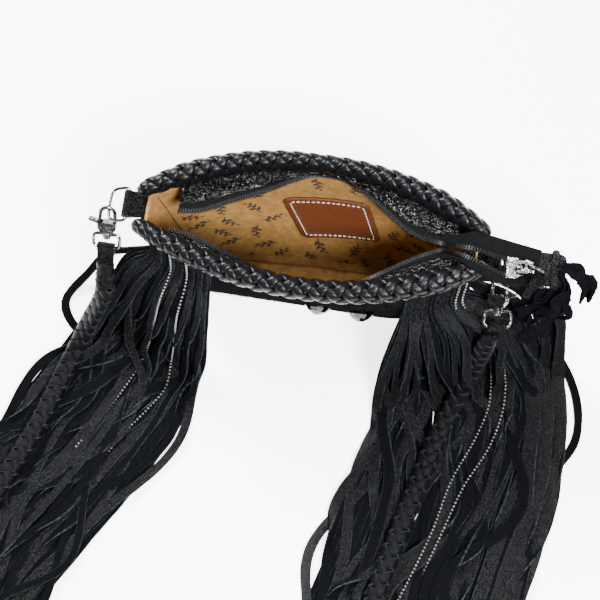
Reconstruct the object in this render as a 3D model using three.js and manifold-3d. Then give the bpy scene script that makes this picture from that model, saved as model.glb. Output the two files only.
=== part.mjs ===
// Fringe crossbody bag, standing open on a flat surface with its strap and fringes laid forward.
// Millimetres, +Z up. The origin is the middle of the flat base, +X is the right end, -Y the front.
import * as THREE from 'three';
import { mergeVertices } from 'three/addons/utils/BufferGeometryUtils.js';
import Module from 'manifold-3d';

const wasm = await Module();
wasm.setup();

// Driving dimensions
const WALL = 2.0; // leather of the panels and the gusset
const LINING_WALL = 1.2; // suede of the lining
const GAP = 0.3; // between pieces that touch
const LINING_GAP = 0.9; // between the leather and the lining
const PANEL_TOP = 153; // top edge of the panels, under the braided rims
const PANEL_COLUMNS = 12; // facets along a panel
// Half the thickness of the braided rims, at shares of their length
const RIM_RADII = {
  shares: [0, 0.13, 0.3, 0.5, 0.68, 0.86, 1],
  front: [6.2, 8.6, 8.8, 8.6, 9, 10, 6.2],
  back: [6.2, 8.8, 8, 6.6, 8, 9.6, 6.2],
};
const RIM_OVERRUN = 5; // of a rim past the panel's end
const RIM_LUMPS = 20; // turns of the braid along a rim
const RIM_LUMP_DEPTH = 0.7; // between two turns
const FACING_WALL = 1.4; // leather strip that carries the zip
const TAPE_WALL = 0.9; // woven zip tape
const TEETH_WALL = 2.8; // row of teeth on the tape's edge
const WIRE_RADIUS = 1.5; // D-rings and strap eyes
const D_RING = { width: 26, reach: 16, corner: 6, barCorner: 2.4 };
const STRAP_EYE = { width: 20, reach: 12, corner: 3, barCorner: 3 };
const STRAP = { width: 16, thickness: 10, step: 27 };
const STRIP = { headWidth: 4.6, width: 10.5, thickness: 2.4, layer: 3.1, steps: 10 };
const CHAIN_RADIUS = 1.2;
const FLOOR = STRIP.thickness / 2 + 0.2; // middle of a strip that lies on the floor

// Horizontal sections of the bag: its two ends, half its width there, and how far out and where
// along X the front and the back bulge most
const SECTIONS = [
  { height: 0, left: -94, right: 98, end: 15, front: 16.5, frontPeak: 46, back: 17, backPeak: 0 },
  { height: 4, left: -101, right: 103, end: 15, front: 17.5, frontPeak: 46, back: 19, backPeak: 0 },
  { height: 14, left: -107, right: 107, end: 15, front: 20.5, frontPeak: 48, back: 24, backPeak: -2 },
  { height: 50, left: -117, right: 111, end: 14.5, front: 31, frontPeak: 50, back: 36, backPeak: -5 },
  { height: 100, left: -127, right: 114, end: 14.5, front: 43, frontPeak: 42, back: 46, backPeak: -10 },
  { height: 130, left: -133, right: 116, end: 15, front: 49, frontPeak: 14, back: 50.5, backPeak: -12 },
  { height: PANEL_TOP, left: -137, right: 117, end: 15, front: 48, frontPeak: -5, back: 53, backPeak: -12 },
];

// The two rows of zip teeth, from the left end to where they meet above the right end
const TEETH_BACK = [
  { x: -110, y: 2, z: 152 },
  { x: -94, y: 4, z: 153 },
  { x: -73, y: 14, z: 153 },
  { x: -50, y: 25, z: 152 },
  { x: -31, y: 36, z: 150 },
  { x: -18, y: 42, z: 149.5 },
  { x: -5, y: 44.5, z: 149.5 },
  { x: 8, y: 43.5, z: 149.5 },
  { x: 20, y: 38, z: 150 },
  { x: 30, y: 32, z: 150 },
  { x: 42, y: 23, z: 151 },
  { x: 56, y: 12, z: 152 },
  { x: 70, y: 5, z: 153 },
  { x: 86, y: 1.6, z: 154 },
];
const TEETH_FRONT = [
  { x: -114, y: -11, z: 151 },
  { x: -98, y: -14, z: 151 },
  { x: -83, y: -19, z: 150 },
  { x: -60, y: -27, z: 149 },
  { x: -43, y: -33, z: 148 },
  { x: -20, y: -39, z: 144 },
  { x: 5, y: -40, z: 142 },
  { x: 32, y: -31, z: 147 },
  { x: 51, y: -20, z: 150 },
  { x: 69, y: -9, z: 151 },
  { x: 86, y: -2, z: 154 },
];
// Where the facings run on to the right end, under the zip's tail
const FACING_ENDS = { back: { x: 105, y: -2, z: 148 }, front: { x: 105, y: 6, z: 148 } };
// The zip's free tail over the right end: both rows of teeth and the outer edges of both tapes
const TAIL_ROWS = [
  { x: 98, z: 165, back: -2, front: -6.4, backEdge: 8, frontEdge: -11.5 },
  { x: 109, z: 171.4, back: -4.6, front: -10.8, backEdge: 9.5, frontEdge: -19 },
  { x: 122, z: 171, back: -7, front: -15.4, backEdge: 8, frontEdge: -25 },
  { x: 135, z: 170, back: -9.6, front: -19, backEdge: 6, frontEdge: -27 },
  { x: 147, z: 170, back: -13, front: -16.2, backEdge: 4, frontEdge: -25.5 },
  { x: 157, z: 170, back: -13.2, front: -16, backEdge: 2, frontEdge: -25.5 },
];
const TAIL = { end: 157, height: 170, middle: -14.6 };

// Small helpers

const vector = (x, y, z) => new THREE.Vector3(x, y, z);
const lerp = THREE.MathUtils.lerp;
const steps = (count) => Array.from({ length: count + 1 }, (_, i) => i / count);

/** Turns a closed geometry's faces outwards. */
function outward(geometry) {
  const at = geometry.getAttribute('position');
  const index = geometry.getIndex();
  const [a, b, c] = [vector(), vector(), vector()];
  let volume = 0;
  for (let i = 0; i < index.count; i += 3) {
    a.fromBufferAttribute(at, index.getX(i));
    b.fromBufferAttribute(at, index.getX(i + 1));
    c.fromBufferAttribute(at, index.getX(i + 2));
    volume += a.dot(b.cross(c));
  }
  if (volume < 0) {
    const turned = Array.from(index.array).reverse();
    geometry.setIndex(turned);
  }
  return geometry;
}

/** The triangles that close a ring of points, in the ring's own turning sense. */
function capTriangles(ring) {
  const normal = vector();
  ring.forEach((p, i) => normal.add(p.clone().cross(ring[(i + 1) % ring.length])));
  normal.normalize();
  const across = vector().subVectors(ring[1], ring[0]).normalize();
  const up = normal.clone().cross(across);
  const flat = ring.map((p) => new THREE.Vector2(p.dot(across), p.dot(up)));
  return THREE.ShapeUtils.triangulateShape(flat, []).map(([i, j, k]) => {
    const first = flat[j].clone().sub(flat[i]);
    const second = flat[k].clone().sub(flat[i]);
    return first.cross(second) > 0 ? [i, j, k] : [i, k, j];
  });
}

/** A closed body skinned over rings of points. A round body joins its last ring to its first. */
function skin(rings, round = false) {
  const count = rings[0].length;
  const index = [];
  for (let i = 0; i < (round ? rings.length : rings.length - 1); i += 1) {
    const here = i * count;
    const next = ((i + 1) % rings.length) * count;
    for (let j = 0; j < count; j += 1) {
      const k = (j + 1) % count;
      index.push(here + j, here + k, next + k, here + j, next + k, next + j);
    }
  }
  if (!round) {
    const last = (rings.length - 1) * count;
    capTriangles(rings[0]).forEach(([i, j, k]) => index.push(i, k, j));
    capTriangles(rings.at(-1)).forEach(([i, j, k]) => index.push(last + i, last + j, last + k));
  }
  const geometry = new THREE.BufferGeometry();
  const positions = rings.flat().flatMap((p) => [p.x, p.y, p.z]);
  geometry.setAttribute('position', new THREE.Float32BufferAttribute(positions, 3));
  geometry.setIndex(index);
  return outward(geometry);
}

/** A three.js geometry with only its merged positions left. */
function merged(geometry) {
  geometry.deleteAttribute('normal');
  geometry.deleteAttribute('uv');
  return mergeVertices(geometry, 1e-4);
}

function solid(geometry) {
  const vertProperties = new Float32Array(geometry.getAttribute('position').array);
  const triVerts = new Uint32Array(geometry.getIndex().array);
  return new wasm.Manifold(new wasm.Mesh({ numProp: 3, vertProperties, triVerts }));
}

function geometryOf(body) {
  const mesh = body.getMesh();
  const geometry = new THREE.BufferGeometry();
  geometry.setAttribute('position', new THREE.Float32BufferAttribute(mesh.vertProperties, 3));
  geometry.setIndex(Array.from(mesh.triVerts));
  return geometry;
}

/** One body fused from several closed geometries, less the cuts. */
function fused(parts, cuts = []) {
  let body = solid(parts[0]);
  parts.slice(1).forEach((part) => {
    body = body.add(solid(part));
  });
  cuts.forEach((cut) => {
    body = body.subtract(solid(cut));
  });
  return geometryOf(body);
}

/** A bar of elliptical section along a path of points, with flat ends. halves gives half its width and
    half its thickness at each point, and widthAlong the way that its width lies. */
function bar(path, halves, sides, widthAlong) {
  const rings = path.map((point, i) => {
    const before = path[Math.max(i - 1, 0)];
    const after = path[Math.min(i + 1, path.length - 1)];
    const along = vector().subVectors(after, before).normalize();
    const wide = widthAlong(along);
    wide.addScaledVector(along, -along.dot(wide)).normalize();
    const thick = vector().crossVectors(along, wide);
    const [halfWidth, halfThickness] = halves(i);
    return steps(sides).slice(0, sides).map((turn) => {
      const angle = 2 * Math.PI * (turn + 0.5 / sides);
      return point.clone()
        .addScaledVector(wide, halfWidth * Math.cos(angle))
        .addScaledVector(thick, halfThickness * Math.sin(angle));
    });
  });
  return skin(rings);
}

/** A round wire bent along a closed flat loop of points. */
function hoop(loop, normal, radius, sides = 6) {
  const rings = loop.map((point, i) => {
    const before = loop[(i + loop.length - 1) % loop.length];
    const after = loop[(i + 1) % loop.length];
    const side = vector().subVectors(after, before).normalize().cross(normal);
    return steps(sides).slice(0, sides).map((turn) => point.clone()
      .addScaledVector(normal, radius * Math.cos(2 * Math.PI * turn))
      .addScaledVector(side, radius * Math.sin(2 * Math.PI * turn)));
  });
  return skin(rings, true);
}

/** A rectangle with round corners, from its bar at v = 0 to its reach, as points (u, v). */
function roundedLoop({ width, reach, corner, barCorner }, perCorner = 2) {
  const corners = [
    { u: 1, v: reach - corner, radius: corner, from: 0 },
    { u: -1, v: reach - corner, radius: corner, from: 0.5 },
    { u: -1, v: barCorner, radius: barCorner, from: 1 },
    { u: 1, v: barCorner, radius: barCorner, from: 1.5 },
  ];
  return corners.flatMap(({ u, v, radius, from }) => steps(perCorner).map((share) => {
    const angle = Math.PI * (from + share / 2);
    return { u: u * (width / 2 - radius) + radius * Math.cos(angle), v: v + radius * Math.sin(angle) };
  }));
}

/** A leather strip folded round a wire: an eye at the origin and a tongue along +X, wide along Z. */
function foldedStrip(eyeRadius, wall, tongue, width) {
  const outer = eyeRadius + wall;
  const open = Math.asin(wall / outer);
  const shape = new THREE.Shape();
  shape.moveTo(tongue, wall);
  shape.absarc(0, 0, outer, open, 2 * Math.PI - open, false);
  shape.lineTo(tongue, -wall);
  shape.closePath();
  const eye = new THREE.Path();
  eye.absarc(0, 0, eyeRadius, 0, 2 * Math.PI, true);
  shape.holes.push(eye);
  const geometry = new THREE.ExtrudeGeometry(shape, { depth: width, curveSegments: 5, bevelEnabled: false });
  geometry.translate(0, 0, -width / 2);
  return outward(merged(geometry));
}

function extruded(points, depth) {
  const shape = new THREE.Shape(points.map(([x, y]) => new THREE.Vector2(x, y)));
  const geometry = new THREE.ExtrudeGeometry(shape, { depth, bevelEnabled: false });
  geometry.translate(0, 0, -depth / 2);
  return outward(merged(geometry));
}

function cylinder(radius, from, to, sides = 10) {
  const geometry = new THREE.CylinderGeometry(radius, radius, to - from, sides);
  geometry.rotateX(Math.PI / 2);
  geometry.translate(0, 0, (from + to) / 2);
  return outward(merged(geometry));
}

/** A frame of reference at a point, from its X direction and a direction near its Z. */
function frameAt(origin, along, near) {
  const x = along.clone().normalize();
  const y = near.clone().cross(x).normalize();
  const z = x.clone().cross(y);
  return new THREE.Matrix4().makeBasis(x, y, z).setPosition(origin);
}

// Finishes
function finish(color, roughness, metalness = 0) {
  return new THREE.MeshStandardMaterial({ color, roughness, metalness });
}

const BLACK_LEATHER = finish(0x17171a, 0.5);
const HAIR_HIDE = finish(0x0e0e10, 0.7);
const BLACK_SUEDE = finish(0x1b1b1f, 0.85);
const TAN_SUEDE = finish(0xba8a4c, 0.9);
const COGNAC_LEATHER = finish(0x8a431f, 0.55);
const BLACK_TAPE = finish(0x141416, 0.8);
const SILVER = finish(0xc6c6c4, 0.25, 1);

const bag = new THREE.Group();

/** Adds a piece to the bag. A piece that turns on a hinge is modelled in its hinge's frame, which turns
    about its own Y, and is placed by that frame. */
function add(name, geometry, material, hinge = new THREE.Matrix4()) {
  const mesh = new THREE.Mesh(geometry, material);
  mesh.name = name;
  mesh.applyMatrix4(hinge);
  bag.add(mesh);
}

// The bag's body

function sectionAt(height) {
  const last = SECTIONS.length - 1;
  const above = Math.max(1, SECTIONS.findIndex((row) => row.height >= height));
  const upper = SECTIONS[height > PANEL_TOP ? last : above];
  const lower = SECTIONS[height > PANEL_TOP ? last - 1 : above - 1];
  const share = (Math.min(height, PANEL_TOP) - lower.height) / (upper.height - lower.height);
  return Object.fromEntries(Object.keys(upper).map((key) => [key, lerp(lower[key], upper[key], share)]));
}

/** How far the outside of the front (side -1) or back (side +1) lies from the middle plane. */
function depthAt(side, x, height) {
  const section = sectionAt(height);
  const peak = side < 0 ? section.frontPeak : section.backPeak;
  const bulge = side < 0 ? section.front : section.back;
  const reach = x < peak ? section.left - peak : section.right - peak;
  const share = Math.min(Math.abs((x - peak) / reach), 1);
  return section.end + (bulge - section.end) * (1 - share ** 2);
}

function outsideLine(side, height, inset, shares, endInset = inset) {
  const { left, right } = sectionAt(height);
  return shares.map((share) => {
    const x = lerp(left + endInset, right - endInset, share);
    return vector(x, side * (depthAt(side, x, height) - inset), height);
  });
}

function panel(side) {
  const shares = steps(PANEL_COLUMNS);
  const rings = SECTIONS.map(({ height }) => {
    const faces = [outsideLine(side, height, 0, shares), outsideLine(side, height, WALL, shares, 0)];
    const [there, back] = side < 0 ? faces.reverse() : faces;
    return [...there, ...back.reverse()];
  });
  return skin(rings);
}

/** One strip down the left end, along the base and up the right end, between the two panels. */
function gusset() {
  const left = SECTIONS.map((row) => ({ x: row.left, z: row.height, half: row.end })).reverse();
  const right = SECTIONS.map((row) => ({ x: row.right, z: row.height, half: row.end }));
  const path = [...left, ...right];
  const inwards = path.map((point, i) => {
    const before = path[Math.max(i - 1, 0)];
    const after = path[Math.min(i + 1, path.length - 1)];
    return new THREE.Vector2(before.z - after.z, after.x - before.x).normalize();
  });
  const rings = path.map(({ x, z, half }, i) => {
    const reach = half - WALL - GAP;
    const isBase = z === 0;
    const innerX = x + WALL * inwards[i].x;
    const innerZ = isBase ? WALL : z + WALL * inwards[i].y * (z === PANEL_TOP ? 0 : 1);
    return [
      vector(x, -reach, z),
      vector(x, reach, z),
      vector(innerX, reach, innerZ),
      vector(innerX, -reach, innerZ),
    ];
  });
  return skin(rings);
}

// Rows of the lining: height of its outside, and how far it draws in over the base's round corners
const LINING_ROWS = [
  { height: WALL + LINING_GAP, tuck: 7 },
  { height: 7, tuck: 3 },
  { height: 14, tuck: 1 },
  { height: 50, tuck: 0 },
  { height: 100, tuck: 0 },
  { height: 130, tuck: 0 },
  { height: PANEL_TOP - GAP, tuck: 0 },
];
const LINING_FACE = WALL + LINING_GAP + LINING_WALL; // the lining's visible face, from the outside

function liningRing(height, inset, tuck) {
  const shares = steps(PANEL_COLUMNS);
  const front = outsideLine(-1, height, inset, shares, inset + tuck);
  const back = outsideLine(1, height, inset, shares, inset + tuck).reverse();
  return [...front, ...back];
}

function lining() {
  const outer = LINING_ROWS.map(({ height, tuck }) => liningRing(height, WALL + LINING_GAP, tuck));
  const inner = LINING_ROWS.map(({ height, tuck }, i) => {
    const rise = i < 2 ? LINING_WALL : 0;
    return liningRing(height + rise, LINING_FACE, tuck);
  });
  return skin([...outer, ...inner.reverse()]);
}

add('front_panel', panel(-1), HAIR_HIDE);
add('back_panel', panel(1), BLACK_LEATHER);
add('gusset', gusset(), BLACK_LEATHER);
add('lining', lining(), TAN_SUEDE);

// Label patch on the lining's back face: its corners along X and in height
const LABEL = {
  wall: 1.6, topLeft: [-38, 103], topRight: [30, 114], bottomLeft: [-20, 44], bottomRight: [44, 58],
};

function labelPatch() {
  const back = LINING_FACE + LINING_GAP;
  const rings = steps(4).map((down) => {
    const rowAt = (inset) => steps(4).map((across) => {
      const corner = (i) => lerp(
        lerp(LABEL.topLeft[i], LABEL.topRight[i], across),
        lerp(LABEL.bottomLeft[i], LABEL.bottomRight[i], across),
        down,
      );
      const [x, z] = [corner(0), corner(1)];
      return vector(x, depthAt(1, x, z) - inset, z);
    });
    return [...rowAt(back), ...rowAt(back + LABEL.wall).reverse()];
  });
  return skin(rings);
}

add('label_patch', labelPatch(), COGNAC_LEATHER);

// Braided rims on the panels' top edges

function rim(side) {
  const { left, right } = sectionAt(PANEL_TOP);
  const count = 2 * RIM_LUMPS;
  const sides = 8;
  const { shares } = RIM_RADII;
  const radii = side < 0 ? RIM_RADII.front : RIM_RADII.back;
  const turnRadius = (i) => {
    const after = Math.max(1, shares.findIndex((share) => share >= i / count));
    const part = (i / count - shares[after - 1]) / (shares[after] - shares[after - 1]);
    return lerp(radii[after - 1], radii[after], part);
  };
  const path = steps(count).map((share, i) => {
    const x = lerp(left - RIM_OVERRUN, right + RIM_OVERRUN, share);
    const seat = turnRadius(i) * Math.cos(Math.PI / sides);
    return vector(x, side * (depthAt(side, x, PANEL_TOP) - WALL / 2), PANEL_TOP + GAP + seat);
  });
  const halves = (i) => {
    const radius = turnRadius(i) - (i % 2 ? 0 : RIM_LUMP_DEPTH);
    return [radius, radius];
  };
  return bar(path, halves, sides, () => vector(0, 0, 1));
}

add('front_rim', rim(-1), BLACK_LEATHER);
add('back_rim', rim(1), BLACK_LEATHER);

// Zip: leather facings under the rims, tapes with teeth, and the tail over the right end
// Where the facings start, inside the rims, and the shares of the way to the teeth where they end and
// where the tapes start
const FLAP = { fromLining: 1.2, drop: 1.4, facing: 0.64, tape: 0.69 };

/** Points over the flap between a rim and its row of teeth, at shares of the way to the teeth. */
function flapSection(side, tooth, shares) {
  const inside = depthAt(side, tooth.x, PANEL_TOP) - LINING_FACE - FLAP.fromLining;
  const rimSide = vector(tooth.x, side * inside, PANEL_TOP - FLAP.drop);
  const teeth = vector(tooth.x, tooth.y, tooth.z);
  return shares.map((share) => rimSide.clone().lerp(teeth, share));
}

/** A strip's ring from points across it and its half thickness at each. */
function stripRing(points, halves) {
  const across = vector().subVectors(points.at(-1), points[0]);
  const up = vector(0, -across.z, across.y).normalize();
  if (up.z < 0) up.negate();
  const over = points.map((p, i) => p.clone().addScaledVector(up, halves[i]));
  const under = points.map((p, i) => p.clone().addScaledVector(up, -halves[i]));
  return [...over, ...under.reverse()];
}

function zipFacing(side, teeth) {
  const halves = [FACING_WALL / 2, FACING_WALL / 2];
  const route = [...teeth, side < 0 ? FACING_ENDS.front : FACING_ENDS.back];
  return skin(route.map((tooth) => stripRing(flapSection(side, tooth, [0, FLAP.facing]), halves)));
}

const TAPE_SHARES = { inBag: [0, 0.6, 0.66, 1], inTail: [0, 0.8, 0.84, 1] }; // its edge, then the teeth
const TAPE_HALVES = [TAPE_WALL / 2, TAPE_WALL / 2, TEETH_WALL / 2, TEETH_WALL / 2];

function zipTape(side, teeth) {
  const inBag = teeth.map((tooth) => {
    const shares = TAPE_SHARES.inBag.map((share) => lerp(FLAP.tape, 1, share));
    return stripRing(flapSection(side, tooth, shares), TAPE_HALVES);
  });
  const inTail = TAIL_ROWS.map((row) => {
    const edge = vector(row.x, side < 0 ? row.frontEdge : row.backEdge, row.z);
    const tooth = vector(row.x, side < 0 ? row.front : row.back, row.z);
    const points = TAPE_SHARES.inTail.map((share) => edge.clone().lerp(tooth, share));
    return stripRing(points, TAPE_HALVES);
  });
  return skin([...inBag, ...inTail]);
}

add('zip_facing_front', zipFacing(-1, TEETH_FRONT), BLACK_LEATHER);
add('zip_facing_back', zipFacing(1, TEETH_BACK), BLACK_LEATHER);
add('zip_tape_front', zipTape(-1, TEETH_FRONT), BLACK_TAPE);
add('zip_tape_back', zipTape(1, TEETH_BACK), BLACK_TAPE);

// Leather end of the tail, and the lace that is tied round it
const END_TAB = { length: 20, width: 25, wall: 3.4, corner: 5, middle: -12 };
const LACE = { width: 5, wall: 1.6, x: 169 };

function endTab() {
  const near = TAIL.end + GAP;
  const far = near + END_TAB.length;
  const half = END_TAB.width / 2;
  const { corner } = END_TAB;
  const shape = new THREE.Shape();
  shape.moveTo(near, -half);
  shape.lineTo(far - corner, -half);
  shape.absarc(far - corner, corner - half, corner, -Math.PI / 2, 0, false);
  shape.absarc(far - corner, half - corner, corner, 0, Math.PI / 2, false);
  shape.lineTo(near, half);
  shape.closePath();
  const cut = { depth: END_TAB.wall, curveSegments: 3, bevelEnabled: false };
  const geometry = new THREE.ExtrudeGeometry(shape, cut);
  geometry.translate(0, END_TAB.middle, TAIL.height - END_TAB.wall / 2);
  return outward(merged(geometry));
}

/** A flat strip along a curve through points, level across, with its width at the start and the end.
    Where it hangs from a surface, its width starts along that surface. */
function ribbon(points, widths, thickness, count, surface = null) {
  const curve = new THREE.CatmullRomCurve3(points, false, 'centripetal');
  const path = curve.getSpacedPoints(count);
  path.forEach((point) => point.setZ(Math.max(point.z, FLOOR)));
  const rings = path.map((point, i) => {
    const along = vector().subVectors(path[Math.min(i + 1, count)], path[Math.max(i - 1, 0)]).normalize();
    const before = path[Math.max(i - 2, 0)];
    const after = path[Math.min(i + 2, count)];
    const wide = vector(before.y - after.y, after.x - before.x, 0).normalize();
    if (surface) wide.lerp(surface, THREE.MathUtils.smoothstep(point.z, 40, 120));
    wide.addScaledVector(along, -along.dot(wide)).normalize();
    const thick = vector().crossVectors(wide, along);
    const width = lerp(widths[0], widths[1], Math.min(1, (1.6 * i) / count));
    const corners = [[-1, -1], [1, -1], [1, 1], [-1, 1]];
    return corners.map(([w, t]) => point.clone()
      .addScaledVector(wide, (w * width) / 2)
      .addScaledVector(thick, (t * thickness) / 2));
  });
  return skin(rings);
}

function endLace() {
  const halfHigh = END_TAB.wall / 2 + GAP + LACE.wall / 2;
  const halfWide = END_TAB.width / 2 + GAP + LACE.wall / 2;
  const corners = [[-1, -1], [1, -1], [1, 1], [-1, 1]];
  const rings = corners.map(([y, z]) => corners.map(([x, out]) => vector(
    LACE.x + (x * LACE.width) / 2,
    END_TAB.middle + y * (halfWide + (out * LACE.wall) / 2),
    TAIL.height + z * (halfHigh + (out * LACE.wall) / 2),
  )));
  const knot = merged(new THREE.IcosahedronGeometry(5, 1));
  knot.scale(1.2, 1, 0.75);
  knot.translate(LACE.x + 2, END_TAB.middle + 4, TAIL.height + 5.4);
  const knotPoint = vector(LACE.x + 4, END_TAB.middle + 4, TAIL.height + 5);
  const tail = [
    knotPoint,
    vector(184, -11, 174),
    vector(194, -17, 167),
    vector(197, -26, 157),
  ];
  const frontTail = [
    vector(LACE.x, END_TAB.middle - halfWide, TAIL.height),
    vector(170, -33, 163),
    vector(165, -40, 152),
    vector(156, -46, 142),
  ];
  return fused([
    skin(rings, true),
    outward(knot),
    ribbon(tail, [5, 6], LACE.wall, 8),
    ribbon(frontTail, [5, 6], LACE.wall, 7),
  ]);
}

add('zip_end_tab', endTab(), BLACK_LEATHER);
add('zip_end_lace', endLace(), BLACK_SUEDE);

// Zip slider round both rows of teeth, its hinged pull, the wire ring and the leather tab on it
const SLIDER = { x: 134, length: 12, mouth: 8, throat: 5, plate: 1.3, hollow: 1.9, post: 1.5 };
const PULL_AXIS = { x: 141.5, z: TAIL.height + 4.9 };
const PULL_TILT = THREE.MathUtils.degToRad(30);
const PULL_RING = { radius: 6, wire: 0.9, at: 9.5, hole: 1.8 };

function slider() {
  const { x, length, mouth, throat, plate, hollow, post } = SLIDER;
  const outline = [[x, -mouth], [x + length * 0.55, -mouth], [x + length, -throat],
    [x + length, throat], [x + length * 0.55, mouth], [x, mouth]];
  const apart = hollow + plate / 2;
  const plates = [apart, -apart].map((z) => extruded(outline, plate).translate(0, 0, z));
  const postOutline = [[x, -post], [x + 3.5, -0.5], [x + 3.5, 0.5], [x, post]];
  const bridge = [[x + 3, 0], [x + 11, 0], [x + 11, 4.4], [x + 3, 4.4]];
  const window = [[x + 5, 0.6], [x + 10, 0.6], [x + 10, 3.2], [x + 5, 3.2]];
  const upright = (points, depth) => extruded(points, depth).rotateX(Math.PI / 2);
  const crown = upright(bridge, 2.2).translate(0, 0, hollow + plate - 0.2);
  const opening = upright(window, 4).translate(0, 0, hollow + plate - 0.2);
  const body = fused([...plates, extruded(postOutline, 2 * hollow + 0.4), crown], [opening]);
  return body.translate(0, TAIL.middle, TAIL.height);
}

/** The pull in its hinge's frame: a cross bar in the crown, two arms and a plate with a hole. */
function pull() {
  const frame = [[-0.8, -4], [8, -5.2], [12.4, -3], [12.4, 3], [8, 5.2], [-0.8, 4]];
  const gap = [[0.8, -2.2], [6, -2.2], [6, 2.2], [0.8, 2.2]];
  const hole = cylinder(PULL_RING.hole, -2, 2, 10).translate(PULL_RING.at, 0, 0);
  return fused([extruded(frame, 1.4)], [extruded(gap, 4), hole]);
}

const pullFrame = new THREE.Matrix4().makeRotationY(-PULL_TILT);
pullFrame.setPosition(PULL_AXIS.x, TAIL.middle, PULL_AXIS.z);
const ringHole = vector(PULL_RING.at, 0, 0).applyMatrix4(pullFrame);
const ringDown = vector(0, 0, -1).transformDirection(pullFrame);
const ringOut = vector(0.93, -0.37, 0).transformDirection(pullFrame);
const ringMiddle = ringHole.clone().addScaledVector(ringOut, PULL_RING.radius);
const ringLow = ringMiddle.clone().addScaledVector(ringDown, PULL_RING.radius);
const ringLoop = steps(16).slice(0, 16).map((turn) => ringMiddle.clone()
  .addScaledVector(ringOut, PULL_RING.radius * Math.cos(2 * Math.PI * turn))
  .addScaledVector(ringDown, PULL_RING.radius * Math.sin(2 * Math.PI * turn)));

add('zip_slider', slider(), SILVER);
add('zip_pull', pull(), SILVER, pullFrame);
const ringNormal = vector().crossVectors(ringOut, ringDown).normalize();
add('zip_pull_ring', hoop(ringLoop, ringNormal, PULL_RING.wire), SILVER);
const pullLeather = foldedStrip(2.1, 1.4, 22, 6);
pullLeather.applyMatrix4(frameAt(ringLow, vector(-0.35, -0.92, -0.14), ringOut));
add('zip_pull_leather', pullLeather, BLACK_LEATHER);

// Ends of the bag: leather tabs, D-rings, swivel snaps and the strap's folded ends.
// droop is how far the D-ring hangs below level, hookU and hookV where on the ring the hook bears,
// hang the way from the hook to the strap, lever the side where the hook's gate is, and swivel how far the
// strap's eye is turned on the hook.
const ENDS = [
  {
    name: 'left', out: -1, barX: -149, barY: 5, barZ: 147.5, droop: 25, hookU: -6, hookV: D_RING.reach,
    hang: vector(-0.03, -0.64, -0.77), lever: vector(-1, 0, 0), swivel: 0,
    strapWay: vector(-0.2, -0.6, -0.77),
  },
  {
    name: 'right', out: 1, barX: 129, barY: -5, barZ: 147, droop: 62, hookU: -D_RING.width / 2, hookV: 8.5,
    hang: vector(0.06, -0.95, -0.3), lever: vector(0.88, 0, 0.47), swivel: 36,
    strapWay: vector(-0.1, -0.2, -0.97),
  },
];
const TAB = { wall: 2, width: 20 };
const HOOK = { bend: 5.6, wire: 1.6, nose: -1, ringX: 0.4, ringZ: 1.6, eyeTop: -18.2 };
const LEVER_PIVOT = { x: -5.4, z: -9 };

/** A swivel hook in its own frame: bend at the top, +Z up its shank, gate on the -X side. */
function snapHook() {
  const { bend, wire, nose } = HOOK;
  const over = steps(8).map((share) => {
    const angle = Math.PI * share;
    return vector(bend * Math.cos(angle), 0, bend * Math.sin(angle));
  });
  const armPath = [vector(bend, 0, -8), ...over, vector(-bend, 0, nose)];
  const arm = bar(armPath, () => [wire, wire], 8, () => vector(0, 1, 0));
  const block = [[-3, -6.5], [7.2, -6.5], [7.2, -12], [4, -16], [-4, -16], [-7, -12], [-7, -11.6],
    [-3, -11.6]];
  const cheek = [[-7, -7.4], [-2.5, -7.4], [-2.5, -12], [-7, -12]];
  const upright = (points, depth) => extruded(points, depth).rotateX(Math.PI / 2);
  const cheeks = [-2.8, 2.8].map((y) => upright(cheek, 1.2).translate(0, y, 0));
  const post = cylinder(1.6, -20.2, -15.5, 8);
  const head = cylinder(2.8, -22, -20.2, 8);
  return fused([upright(block, 6.8), arm, ...cheeks, post, head]);
}

function snapLever() {
  const outline = [[-4.3, -1.5], [-6.8, -1.5], [-6.9, -6], [-14, -4.6], [-14.4, -7], [-7.2, -9.4],
    [-6.4, -10.9], [-4.6, -10.9], [-3.5, -9.4], [-4.3, -7]];
  return extruded(outline, 3.6).rotateX(Math.PI / 2).translate(-LEVER_PIVOT.x, 0, -LEVER_PIVOT.z);
}

function snapEye() {
  const loop = roundedLoop(STRAP_EYE).map(({ u, v }) => vector(u, 0, HOOK.eyeTop - v));
  const collar = cylinder(3.7, -19.9, -16.3, 10);
  return fused([hoop(loop, vector(0, 1, 0), WIRE_RADIUS), collar], [cylinder(2, -21, -15, 10)]);
}

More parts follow.
